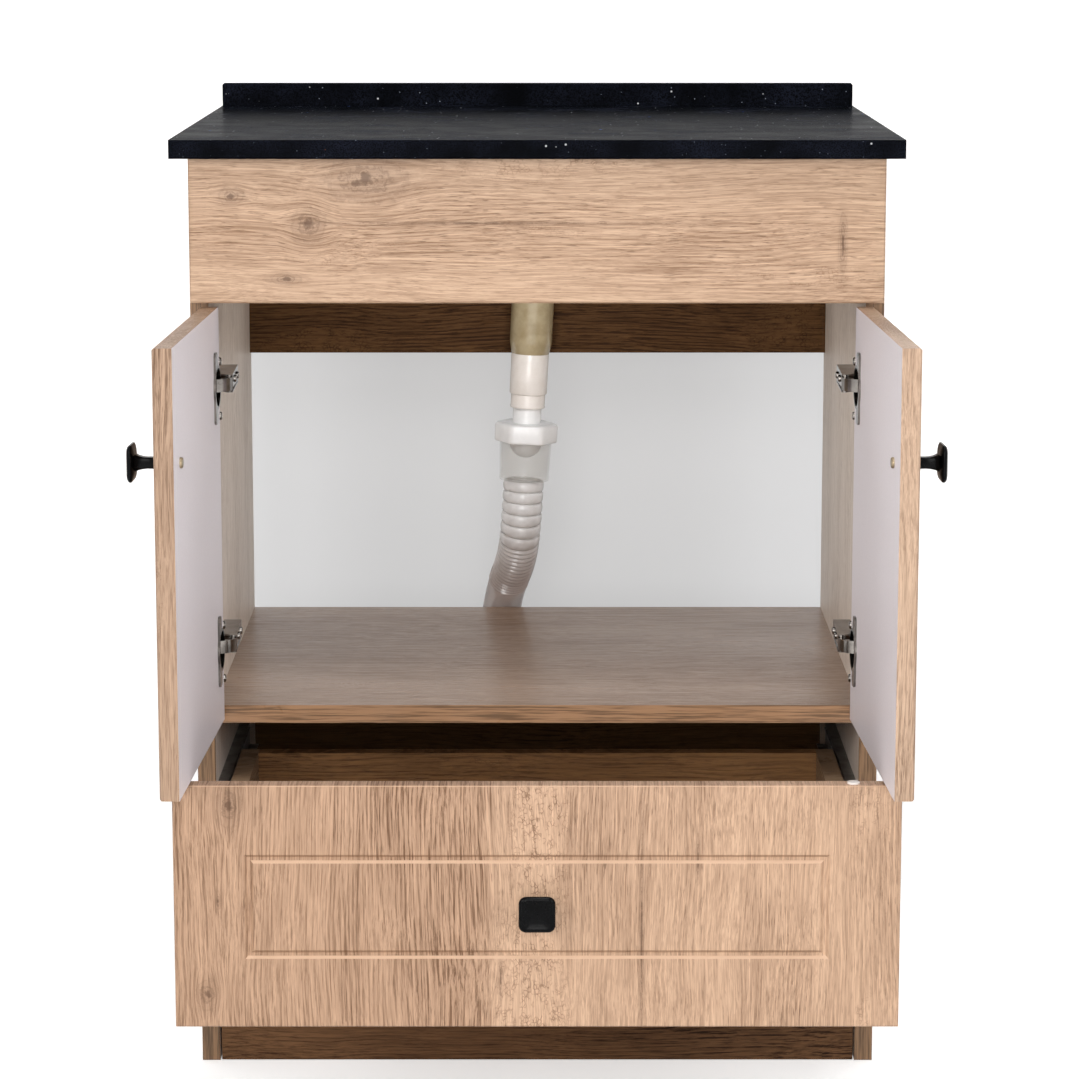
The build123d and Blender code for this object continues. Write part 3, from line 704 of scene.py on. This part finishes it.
nickel = plain_finish("nickel_plate", linear(134, 129, 124), linear(92, 88, 84), 0.1, 0.24, metallic=1.0)
zinc = plain_finish("runner_zinc", linear(158, 157, 155), linear(128, 127, 125), 0.35, 0.55, metallic=1.0)
screw_zinc = plain_finish("screw_zinc", linear(186, 170, 142), linear(130, 114, 90), 0.25, 0.4, metallic=1.0)
knob_black = plain_finish("knob_black", linear(7, 7, 8), linear(4, 4, 5), 0.12, 0.22, ior=1.16)
# The screws' cross pits get a near-black finish: painted shade in the recess
recess_painted_shade = plain_finish("recess_painted_shade", linear(20, 19, 18), linear(12, 12, 12), 0.6, 0.8)
white_pvc = plain_finish("white_pvc", linear(238, 232, 226), linear(230, 223, 216), 0.16, 0.3)
bright_pvc = plain_finish("bright_pvc", linear(242, 242, 242), linear(234, 234, 234), 0.14, 0.26)
cream_pvc = plain_finish("cream_pvc", linear(179, 164, 132), linear(160, 144, 110), 0.12, 0.22)
cloudy_cup = plain_finish("cloudy_cup", linear(226, 224, 218), linear(216, 213, 206), 0.06, 0.14, alpha=0.2)
# The hose darkens towards its foot: painted shade
hose_pvc = plain_finish("hose_pvc", linear(228, 227, 227), linear(214, 212, 211), 0.08, 0.16,
                        shaded_foot=(linear(178, 166, 161), 0.425, 0.08))
grey_rubber = plain_finish("grey_rubber", linear(226, 227, 229), linear(212, 213, 216), 0.3, 0.5)
block_plastic = plain_finish("block_plastic", linear(38, 34, 31), linear(28, 25, 23), 0.5, 0.7)
print("plain finishes ready")

# %% [markdown]
# ## Finishes on the solids
# A solid whose shape is right keeps its own mesh. It only gets a finish in its material slot.

# %% Dress the solids
finish_of = {
    "apron_panel": apron_oak, "left_door_panel": left_door_oak, "right_door_panel": right_door_oak,
    "left_side_panel": side_oaks["left"], "right_side_panel": side_oaks["right"],
    "cabinet_floor": shelf_oak, "front_top_rail": rail_oak, "rear_top_rail": rail_oak,
    "lower_back_panel": rail_oak, "plinth_board": plinth_oak, "plinth_blocks": block_plastic,
    "countertop": stone, "backsplash": stone,
    "left_drawer_side": drawer_side_oak, "right_drawer_side": drawer_side_oak,
    "drawer_back": drawer_back_oak, "drawer_bottom": drawer_bottom_oak, "drawer_cap": white_pvc,
    "waste_flange": white_pvc, "sealing_washer": grey_rubber, "drawer_knob_screw": screw_zinc,
}
for side in ("left", "right"):
    for part in ("hinge_arms", "hinge_plates", "hinge_links", "hinge_cups"):
        finish_of[f"{side}_{part}"] = nickel
    for part in ("runner_outer", "runner_middle", "runner_inner"):
        finish_of[f"{side}_{part}"] = zinc
    finish_of[f"{side}_knob_screw"] = screw_zinc
for node_name, finish in finish_of.items():
    mesh = nodes[node_name].data
    mesh.materials.clear()
    mesh.materials.append(finish)
print("dressed", len(finish_of), "of", len(nodes))

# %% [markdown]
# ## The drawer front
# A frame is routed into the drawer front. The cutter leaves a flat groove with slanting walls and mitred
# corners: light from above leaves the upper wall dark and brightens the lower one, which is what shows
# in the picture. A flat board is raised from one face; insets with a little depth then roll its arris and
# sink the groove, and the last inset comes back up flush. A cutting solid would do it too, but insets leave
# clean four-sided faces and mitre the corners by themselves.

# %% Rout the drawer front
# Steps of (inset, depth) in millimetres
ARRIS_STEPS = [(0.3, 0.7), (0.5, 0.5), (0.7, 0.3)]
GROOVE_INSET = 58.0
GROOVE_STEPS = [(0.4, -0.2), (2.2, -2.0), (0.4, -0.2), (2.0, 0.0), (0.4, 0.2), (2.2, 2.0), (0.4, 0.2)]
low, high = (Vector(corner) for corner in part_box("drawer_front"))
arris = sum(depth for inset, depth in ARRIS_STEPS)
bm = bmesh.new()
bmesh.ops.create_grid(bm, x_segments=1, y_segments=1, size=0.5)
bmesh.ops.scale(bm, vec=(high.x - low.x, high.z - low.z, 1.0), verts=bm.verts[:])
bmesh.ops.translate(bm, vec=(0.0, 0.0, low.y - high.y), verts=bm.verts[:])
board = bmesh.ops.extrude_discrete_faces(bm, faces=bm.faces[:])["faces"][0]
bmesh.ops.translate(bm, vec=(0.0, 0.0, high.y - low.y - arris / MM), verts=board.verts[:])
for inset, depth in ARRIS_STEPS + [(GROOVE_INSET - arris, 0.0)] + GROOVE_STEPS:
    bmesh.ops.inset_region(bm, faces=[board], thickness=inset / MM, depth=depth / MM, use_even_offset=True)
bmesh.ops.holes_fill(bm, edges=[edge for edge in bm.edges if edge.is_boundary], sides=4)
front_middle = Vector(((low.x + high.x) / 2, low.y, (low.z + high.z) / 2))
print("drawer front faces", len(bm.faces))
finish_piece(bm, "drawer_front_routed", "drawer", [drawer_oak], ["drawer_front"], sharp=15.0,
             place=facing_matrix(front_middle, FRONT_WAY))

# %% [markdown]
# ## The waste line
# The pipe under the counter is turned work: tail, coupling, neck and the clear cup, with a dome inside it.
# Each is a profile of radii and levels that is spun round the pipe's axis. The axis leans a few degrees,
# as in the picture, so one matrix places all of them. Levels count from the top of the coupling. A spun
# profile has the small lips and chamfers that stacked cylinders would lack.

# %% Set the leaning axis
LEAN = math.radians(2.93)
WASTE_TOP = Vector((0.0042, 0.401, 0.808))
COUPLING_DROP = 0.221
TURNED_SIDES = 72
MERGE_DISTANCE = 1e-6
lean = Matrix.Rotation(LEAN, 4, "Y")
waste_place = Matrix.Translation(WASTE_TOP) @ lean @ Matrix.Translation((0.0, 0.0, -COUPLING_DROP))


def turned_piece(name, profile, finish, stands_for=(), closed=True, place=waste_place):
    """Spin a profile of (radius, level) in millimetres round a place's Z axis."""
    bm = bmesh.new()
    corners = [bm.verts.new((radius / MM, 0.0, level / MM)) for radius, level in profile]
    edges = [bm.edges.new(pair) for pair in zip(corners, corners[1:])]
    if closed:
        edges.append(bm.edges.new((corners[-1], corners[0])))
    bmesh.ops.spin(bm, geom=corners + edges, cent=(0, 0, 0), axis=(0, 0, 1), dvec=(0, 0, 0),
                   angle=math.tau, steps=TURNED_SIDES, use_merge=True, use_duplicate=False)
    bmesh.ops.remove_doubles(bm, verts=bm.verts[:], dist=MERGE_DISTANCE)
    return finish_piece(bm, name, "carcass", [finish], stands_for, sharp=40.0, place=place)


print("waste axis starts at", tuple(round(value, 4) for value in waste_place.translation))

# %% Turn the fixed pieces of the waste
TAIL_PROFILE = [
    (20.8, 219.8), (20.8, 12.5), (20.5, 10.5), (18.9, 1.5), (18.2, 0.0), (16.2, 0.0), (16.2, 2.0),
    (18.6, 11.5), (18.6, 219.8)]
COUPLING_PROFILE = [
    (17.9, 0.0), (18.4, -0.7), (18.4, -38.6), (17.9, -39.6), (16.8, -40.0), (16.8, -51.4), (17.1, -51.9),
    (17.1, -52.8), (16.6, -53.4), (11.0, -53.4), (11.0, 0.0)]
NECK_PROFILE = [(13.6, -53.4), (14.0, -53.9), (14.0, -87.4), (11.0, -87.4), (11.0, -53.4)]
CUP_PROFILE = [
    (26.0, -75.4), (26.0, -78.4), (25.6, -78.6), (25.6, -87.6), (25.3, -96.0), (24.3, -120.5), (24.6, -121.6),
    (24.5, -124.6), (23.9, -125.4), (15.2, -125.4), (15.2, -123.8), (22.4, -123.8), (22.7, -120.5),
    (24.0, -87.6), (24.0, -75.4)]
DOME_RADIUS, DOME_TOP, DOME_STEPS = 16.2, -87.4, 12
dome_profile = [(0.0, DOME_TOP)]
for step in range(DOME_STEPS + 1):
    turn = math.radians(90.0 * step / DOME_STEPS)
    dome_profile.append((DOME_RADIUS * math.cos(turn), DOME_TOP - DOME_RADIUS * math.sin(turn)))
turned_piece("waste_tail_pipe", TAIL_PROFILE, cream_pvc, ["waste_tail"])
turned_piece("waste_coupling_body", COUPLING_PROFILE, white_pvc, ["waste_coupling"])
turned_piece("waste_neck_pipe", NECK_PROFILE, bright_pvc, ["waste_neck"])
turned_piece("trap_cup_shell", CUP_PROFILE, cloudy_cup, ["trap_cup"])
turned_piece("trap_dome_cap", dome_profile, grey_rubber, ["trap_dome"], closed=False)
print("waste pieces turned")

# %% [markdown]
# ## The collar nut
# The nut is six-sided with soft corners. A hexagon with bevelled corners is raised level by level and
# scaled at each level, which rounds its top and foot. The same helper shapes the knobs later on.


# %% Raise the nut from a hexagon
def raise_levels(bm, levels):
    """Extrude the only face through (level, half width) steps in millimetres, and close the foot."""
    face = bm.faces[:][0]
    at, half = levels[0]
    for level, width in levels[1:]:
        face = bmesh.ops.extrude_discrete_faces(bm, faces=[face])["faces"][0]
        scale = width / half
        bmesh.ops.scale(bm, vec=(scale, scale, 1.0), verts=face.verts[:])
        bmesh.ops.translate(bm, vec=(0.0, 0.0, (level - at) / MM), verts=face.verts[:])
        at, half = level, width
    bmesh.ops.holes_fill(bm, edges=[edge for edge in bm.edges if edge.is_boundary], sides=0)


NUT_LEVELS = [
    (-87.4, 26.6), (-86.9, 27.3), (-85.9, 27.7), (-84.8, 27.8), (-72.2, 27.8), (-70.6, 27.5), (-69.3, 26.7),
    (-68.6, 25.4), (-68.4, 24.0), (-68.4, 15.0)]
NUT_FLATS = 6
NUT_ROUNDING = 0.0045
nut_foot, nut_half = NUT_LEVELS[0]
half_flat = math.pi / NUT_FLATS
bm = bmesh.new()
bmesh.ops.create_circle(bm, cap_ends=True, segments=NUT_FLATS, radius=nut_half / MM / math.cos(half_flat))
bmesh.ops.rotate(bm, cent=(0, 0, 0), matrix=Matrix.Rotation(half_flat, 3, "Z"), verts=bm.verts[:])
bmesh.ops.translate(bm, vec=(0.0, 0.0, nut_foot / MM), verts=bm.verts[:])
bmesh.ops.bevel(bm, geom=bm.verts[:], offset=NUT_ROUNDING, segments=5, profile=0.5, affect="VERTICES",
                material=-1)
raise_levels(bm, NUT_LEVELS)
finish_piece(bm, "collar_nut_moulded", "carcass", [bright_pvc], ["collar_nut"], sharp=30.0,
             place=waste_place)
print("nut raised")

# %% [markdown]
# ## The ribbed hose
# The hose leaves the cup straight down, swings back over the edge of the cabinet floor and drops behind
# it. Its line is one smooth NURBS curve on the same route as the solid. A bevelled curve would be a
# plain tube, so the wall is grown along the line ring by ring: each new ring is extruded from the last,
# moved to its place and scaled to the radius of a rib's crest or valley. Six wide ribs come first, then
# fine ones, then the plain cuff.

# %% Lay the hose's line
FLOOR_EDGE = Vector((0.0, 0.440, 0.326))
CUP_FOOT = -0.1254
HOSE_DROP = 0.040
BENDS = [(-0.0200, -0.0205, 0.0545), (-0.0310, 0.0167, 0.0210), (-0.0380, 0.0330, -0.0155),
         (-0.0395, 0.0345, -0.0630), (-0.0395, 0.0345, -0.1090)]
ROUTE = [waste_place @ Vector((0.0, 0.0, CUP_FOOT)), waste_place @ Vector((0.0, 0.0, CUP_FOOT - HOSE_DROP))]
ROUTE += [FLOOR_EDGE + Vector(bend) for bend in BENDS]
line_data = bpy.data.curves.new("hose_line", "CURVE")
line_data.dimensions = "3D"
line_data.resolution_u = 48
spline = line_data.splines.new("NURBS")
spline.points.add(len(ROUTE) - 1)
for point, place in zip(spline.points, ROUTE):
    point.co = (*place, 1.0)
spline.order_u = 3
spline.use_endpoint_u = True
line_object = bpy.data.objects.new("hose_line", line_data)
bpy.context.collection.objects.link(line_object)
bpy.context.view_layer.update()
line_mesh = bpy.data.meshes.new_from_object(line_object)
hose_points = [vertex.co.copy() for vertex in line_mesh.vertices]
bpy.data.objects.remove(line_object, do_unlink=True)
marks = [0.0]
for before, after in zip(hose_points, hose_points[1:]):
    marks.append(marks[-1] + (after - before).length)
hose_length = marks[-1]
print("hose length", round(hose_length, 4), "points", len(hose_points))


# %% Find a place along the hose
def hose_frame(distance):
    """A matrix at a distance along the hose: Z along it, X kept as level as it can be."""
    distance = min(max(distance, 0.0), hose_length)
    index = 0
    while index < len(marks) - 2 and marks[index + 1] < distance:
        index += 1
    share = (distance - marks[index]) / (marks[index + 1] - marks[index])
    spot = hose_points[index].lerp(hose_points[index + 1], share)
    before = hose_points[max(index - 1, 0)]
    after = hose_points[min(index + 2, len(hose_points) - 1)]
    along = (after - before).normalized()
    across = (Vector((1.0, 0.0, 0.0)) - along * along.x).normalized()
    level = along.cross(across)
    turn = Matrix((across, level, along)).transposed().to_4x4()
    return Matrix.Translation(spot) @ turn


# %% List the rings from cup to end
# A rib: (share of its pitch, radius in millimetres)
WIDE_RIB = [(0.0, 17.5), (0.04, 18.2), (0.09, 19.1), (0.18, 19.7), (0.4, 20.1), (0.62, 20.05), (0.8, 19.8),
            (0.9, 19.2), (0.96, 18.2)]
FINE_RIB = [(0.0, 17.9), (0.2, 19.0), (0.45, 20.0), (0.7, 19.6), (0.9, 18.2)]
WIDE_PITCH, WIDE_COUNT = 10.8, 6
FINE_PITCH, FINE_COUNT = 4.6, 14
CUFF_GAP = 0.003
CUFF_RADIUS = 0.0193
CUFF_STEPS = 14
SPIGOT = 0.0290
SPIGOT_STEP = 0.001
END_RADIUS = 0.0188
END_GAP = 0.0005
stations = []
reached = 0.0
for pitch, count, shape in ((WIDE_PITCH, WIDE_COUNT, WIDE_RIB), (FINE_PITCH, FINE_COUNT, FINE_RIB)):
    for _ in range(count):
        stations += [((reached + share * pitch) / MM, radius / MM) for share, radius in shape]
        reached += pitch
cuff_start = reached / MM
cuff_run = hose_length - SPIGOT - cuff_start - CUFF_GAP
for step in range(CUFF_STEPS + 1):
    stations.append((cuff_start + CUFF_GAP + cuff_run * (step / CUFF_STEPS), CUFF_RADIUS))
for before_end in (SPIGOT - SPIGOT_STEP, SPIGOT / 2, END_GAP):
    stations.append((hose_length - before_end, END_RADIUS))
print("hose rings", len(stations))

# %% Grow the hose wall ring by ring
HOSE_SIDES = 56
HOSE_WALL = 0.0016
SPIGOT_PROFILE = [
    (18.7, -0.3), (19.0, 0.0), (19.4, -0.5), (19.4, -25.4), (20.0, -25.9), (20.1, -26.6), (20.1, -28.6),
    (19.7, -29.3), (19.1, -29.6), (18.7, -29.0)]
start, ring_radius = stations[0]
spot = hose_frame(start)
bm = bmesh.new()
ring = bmesh.ops.create_circle(bm, cap_ends=False, segments=HOSE_SIDES, radius=ring_radius)["verts"]
bmesh.ops.transform(bm, matrix=spot, verts=ring)
ring_edges = bm.edges[:]
for distance, next_radius in stations[1:]:
    ring, ring_edges = grow_ring(bm, ring_edges)
    next_spot = hose_frame(distance)
    move = next_spot @ Matrix.Scale(next_radius / ring_radius, 4) @ spot.inverted()
    bmesh.ops.transform(bm, matrix=move, verts=ring)
    spot, ring_radius = next_spot, next_radius
hose = finish_piece(bm, "waste_hose_ribbed", "carcass", [hose_pvc],
                    ["waste_hose", "hose_cuff"], sharp=60.0)
wall = hose.modifiers.new("wall", "SOLIDIFY")
wall.thickness = HOSE_WALL
wall.offset = -1.0
spigot = turned_piece("hose_end_spigot", SPIGOT_PROFILE, hose_pvc,
                      place=hose_frame(hose_length))
print("hose faces", len(hose.data.polygons))

# %% [markdown]
# ## The knobs
# Each knob is a square mushroom: a foot on the door, a waisted neck and a stepped head with rounded
# corners. A flat square with bevelled corners is extruded level by level and scaled to the width at
# that level, which keeps the corners round all the way up.

# %% Shape the knobs
KNOB_LEVELS = [
    (0.0, 6.5), (1.0, 6.4), (2.2, 5.7), (3.5, 5.0), (5.5, 4.7), (9.0, 4.6), (12.0, 4.8), (15.0, 5.3),
    (17.5, 6.0), (19.2, 6.9), (19.6, 9.4), (20.0, 11.4), (20.7, 13.5), (21.4, 14.7), (22.0, 15.0),
    (23.0, 15.0), (23.8, 14.6), (24.6, 13.7), (25.0, 12.8), (24.8, 11.6), (24.0, 8.0), (23.5, 3.0)]
KNOB_ROUNDING = 0.4
KNOB_RISE = 0.025
SWING = math.radians(92.0)


def shape_knob(name, outward, body, node):
    """A knob that stands where its solid does and looks outward."""
    low, high = (Vector(corner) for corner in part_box(node))
    foot = (low + high) / 2 - outward * KNOB_RISE / 2
    half = KNOB_LEVELS[0][1] / MM
    bm = bmesh.new()
    bmesh.ops.create_grid(bm, x_segments=1, y_segments=1, size=half)
    bmesh.ops.bevel(bm, geom=bm.verts[:], offset=half * KNOB_ROUNDING, segments=7, profile=0.5,
                    affect="VERTICES", material=-1)
    raise_levels(bm, KNOB_LEVELS)
    return finish_piece(bm, name, body, [knob_black], [node], sharp=40.0,
                        place=facing_matrix(foot, outward))


for side, sign in (("left", -1.0), ("right", 1.0)):
    outward = Vector((sign * math.sin(SWING), -math.cos(SWING), 0.0))
    shape_knob(f"{side}_door_knob_cast", outward, f"{side}_door", f"{side}_door_knob")
shape_knob("drawer_knob_cast", FRONT_WAY, "drawer", "drawer_knob")
print("knobs shaped")

# %% [markdown]
# ## Screws
# The hinges are held by small cross-head screws. A screw head is a ring that is extruded inwards and
# up over the dome, then down into a cross-shaped pit. They are small, but bright, so a bump in the finish
# would not do. Every head of one body is in one mesh.

# %% Shape a screw head
SCREW_SIDES = 24
# Steps of (share of the radius, share of the height)
DOME_SHARES = ((1.0, 0.35), (0.93, 0.72), (0.8, 0.93), (0.58, 1.0))
CROSS_ARM = 0.3
CROSS_PINCH = 0.42
PIT_TAPER = 0.8
PIT_DEPTH = 0.6


def add_screw(bm, place, radius, height):
    """A domed head with a cross recess, standing on the XY plane of the given matrix."""
    ring = bmesh.ops.create_circle(bm, cap_ends=False, segments=SCREW_SIDES, radius=radius)["verts"]
    every = list(ring)
    edges = list({edge for vert in ring for edge in vert.link_edges})
    bmesh.ops.contextual_create(bm, geom=edges)
    spread = radius
    level = 0.0
    for share, rise in DOME_SHARES:
        ring, edges = grow_ring(bm, edges)
        scale = radius * share / spread
        bmesh.ops.scale(bm, vec=(scale, scale, 1.0), verts=ring)
        bmesh.ops.translate(bm, vec=(0.0, 0.0, rise * height - level), verts=ring)
        every += ring
        spread = radius * share
        level = rise * height
    pinched = [vert for vert in ring if min(abs(vert.co.x), abs(vert.co.y)) > CROSS_ARM * spread]
    bmesh.ops.scale(bm, vec=(CROSS_PINCH, CROSS_PINCH, 1.0), verts=pinched)
    ring, edges = grow_ring(bm, edges)
    bmesh.ops.scale(bm, vec=(PIT_TAPER, PIT_TAPER, 1.0), verts=ring)
    bmesh.ops.translate(bm, vec=(0.0, 0.0, -PIT_DEPTH * height), verts=ring)
    every += ring
    # The pit's floor takes the second finish, painted shade that darkens the recess
    for face in bmesh.ops.contextual_create(bm, geom=edges)["faces"]:
        face.material_index = 1
    bmesh.ops.transform(bm, matrix=place, verts=every)


# %% Set the screws on the hinges
HINGE_LEVELS = (0.382, 0.612)
FRONT_EDGE = -0.010
PLATE_FACE, PLATE_DEPTH, PLATE_RISES = 0.281, 0.037, (-0.0185, 0.0185)
ARM_FACE, ARM_DEPTHS = 0.265, (0.031, 0.054)
DOOR_CORNER = (0.275, 0.0065)
CUP_REACH, CUP_FLANGE, CUP_RISES = 0.031, 0.0018, (-0.0235, 0.0235)
# Radius and height of a head
PLATE_SCREW = (0.0034, 0.002)
ARM_SCREW = (0.0032, 0.0018)
CUP_SCREW = (0.0036, 0.0018)
for side, sign in (("left", -1.0), ("right", 1.0)):
    inward = Vector((-sign, 0.0, 0.0))
    bm = bmesh.new()
    for level in HINGE_LEVELS:
        for rise in PLATE_RISES:
            seat = Vector((sign * PLATE_FACE, FRONT_EDGE + PLATE_DEPTH, level + rise))
            add_screw(bm, facing_matrix(seat, inward), *PLATE_SCREW)
        for depth in ARM_DEPTHS:
            seat = Vector((sign * ARM_FACE, FRONT_EDGE + depth, level))
            add_screw(bm, facing_matrix(seat, inward), *ARM_SCREW)
    finish_piece(bm, f"{side}_arm_screws", "carcass", [nickel, recess_painted_shade])
    lining_way = Vector((-sign * math.sin(SWING), math.cos(SWING), 0.0))
    door_way = Vector((sign * math.cos(SWING), -math.sin(SWING), 0.0))
    corner = Vector((sign * DOOR_CORNER[0], FRONT_EDGE - DOOR_CORNER[1], 0.0))
    bm = bmesh.new()
    for level in HINGE_LEVELS:
        for rise in CUP_RISES:
            seat = corner + door_way * CUP_REACH + lining_way * CUP_FLANGE + Vector((0.0, 0.0, level + rise))
            add_screw(bm, facing_matrix(seat, lining_way), *CUP_SCREW)
    finish_piece(bm, f"{side}_cup_screws", f"{side}_door", [nickel, recess_painted_shade])
print("screws shaped")

# %% [markdown]
# ## Floor and wall
# The picture has a white ground. A pale floor and a pale wall stand under and behind the object. They
# glow a little, but only for the rays that show the background, so they add no light to the object and
# the floor keeps its shadow. The wall is greyer behind the cabinet, which shades it. It only shows from
# the front, so that the back of the cabinet can be looked at too, and far away the floor runs into white.

# %% Make a stage sheet
STAGE_REACH = 6.0
STAGE_WHITE = (0.86, 0.86, 0.86, 1.0)
STAGE_ROUGHNESS = 0.9
WHITE = (1.0, 1.0, 1.0, 1.0)


def background_rays(tree):
    """One for the rays that show the background: camera, glossy and transmission rays."""
    rays = tree.nodes.new("ShaderNodeLightPath")
    through = maths("MAXIMUM", rays.outputs["Is Glossy Ray"], rays.outputs["Is Transmission Ray"])
    return maths("MAXIMUM", rays.outputs["Is Camera Ray"], through)


def stage_sheet(name, matrix):
    """A large pale sheet that is not part of the object; gives its node tree, shader and coordinates."""
    bm = bmesh.new()
    bmesh.ops.create_grid(bm, x_segments=1, y_segments=1, size=STAGE_REACH)
    bmesh.ops.transform(bm, matrix=matrix, verts=bm.verts[:])
    mesh = bpy.data.meshes.new(name)
    bm.to_mesh(mesh)
    bm.free()
    sheet = bpy.data.objects.new(name, mesh)
    bpy.context.collection.objects.link(sheet)
    material, shader, place = new_finish(f"{name}_paint")
    feed(shader, {"Base Color": STAGE_WHITE, "Roughness": STAGE_ROUGHNESS, "Emission Color": WHITE})
    mesh.materials.append(material)
    return material.node_tree, shader, place["Object"]


# %% Lay the floor
FLOOR_DROP = 0.0005
FLOOR_GLOW = 0.55
FLOOR_FADE = (1.3, 3.6)
# Where the glow ends under the cabinet: beside it, at its plinth and at its back
UNDER_SIDE, UNDER_PLINTH, UNDER_BACK = (0.28, 0.30), (0.0, 0.03), (0.40, 0.44)
tree, shader, place = stage_sheet("studio_floor", Matrix.Translation((0.0, 0.0, -FLOOR_DROP)))
axes = split_axes(place)
beside = remap(maths("ABSOLUTE", axes["X"]), *UNDER_SIDE, 1.0, 0.0)
ahead = remap(axes["Y"], *UNDER_PLINTH)
behind = remap(axes["Y"], *UNDER_BACK, 1.0, 0.0)
covered = times(beside, times(ahead, behind))
far = vector_maths("LENGTH", place)
glow = times(background_rays(tree), remap(far, *FLOOR_FADE, FLOOR_GLOW, 1.0))
feed(shader, {"Emission Strength": times(glow, maths("SUBTRACT", 1.0, covered))})
print("floor laid")

# %% Stand the wall
WALL_BACK = 0.60
WALL_GLOW = 0.45
WALL_SHADED = (0.29, 0.29, 0.295, 1.0)
# Where the cabinet shades the wall: beside its axis and above the floor
SHADE_SIDE, SHADE_TOP = (0.30, 0.35), (0.62, 0.80)
wall_place = Matrix.Translation((0.0, WALL_BACK, 0.0)) @ Matrix.Rotation(QUARTER, 4, "X")
tree, shader, place = stage_sheet("studio_wall", wall_place)
axes = split_axes(place)
beside = remap(maths("ABSOLUTE", axes["X"]), *SHADE_SIDE, 1.0, 0.0)
below = remap(axes["Z"], *SHADE_TOP, 1.0, 0.0)
wall_colour = blend_colours(times(beside, below), STAGE_WHITE, WALL_SHADED)
feed(shader, {"Base Color": wall_colour, "Emission Strength": times(background_rays(tree), WALL_GLOW)})
clear = tree.nodes.new("ShaderNodeBsdfTransparent").outputs["BSDF"]
side_seen = tree.nodes.new("ShaderNodeNewGeometry").outputs["Backfacing"]
pick = fed_node("ShaderNodeMixShader", {"Fac": side_seen, 1: shader.outputs["BSDF"], 2: clear})
feed(tree.nodes["Material Output"], {"Surface": pick.outputs["Shader"]})
print("wall stands")

# %% [markdown]
# ## Light
# A large soft box lights the front, one at each side the insides of the doors, and a weak one the top.
# A small one tucked behind the front rail lifts the pipe out of the cabinet's shade. The sky fills the
# rest at a low level, and is white only for the rays that show the background.


# %% Set the lamps
def soft_box(name, place, target, size, power, colour):
    """A square area light aimed at a point."""
    data = bpy.data.lights.new(name, "AREA")
    data.size = size
    data.energy = power
    data.color = colour
    lamp = bpy.data.objects.new(name, data)
    bpy.context.collection.objects.link(lamp)
    lamp.location = place
    lamp.rotation_euler = (Vector(target) - Vector(place)).to_track_quat("-Z", "Y").to_euler()


# Name, place, target, size in metres, power in watts, colour
SOFT_BOXES = [
    ("front_box", (-0.25, -3.4, 1.05), (0.0, 0.3, 0.5), 1.4, 44.0, (1.0, 0.99, 0.975)),
    ("left_box", (-1.9, -2.2, 1.4), (0.25, -0.1, 0.5), 1.2, 29.0, (1.0, 0.99, 0.98)),
    ("right_box", (1.9, -2.2, 1.4), (-0.25, -0.1, 0.5), 1.2, 23.0, (0.97, 0.98, 1.0)),
    ("top_box", (0.3, -1.1, 3.0), (0.0, -0.1, 0.4), 1.0, 26.0, (1.0, 1.0, 1.0)),
    ("inner_fill", (0.0, 0.10, 0.765), (0.0, 0.42, 0.46), 0.14, 0.7, (1.0, 1.0, 1.0)),
]
for box in SOFT_BOXES:
    soft_box(*box)
SKY_FILL = 0.24
world = bpy.data.worlds.new("studio")
bpy.context.scene.world = world
world.use_nodes = True
sky_tree = world.node_tree
sky = sky_tree.nodes["Background"]
sky_strength = remap(background_rays(sky_tree), 0.0, 1.0, SKY_FILL, 1.0)
feed(sky, {"Color": WHITE, "Strength": sky_strength})
bpy.context.scene.view_settings.view_transform = "Standard"
print("lamps", len(SOFT_BOXES))
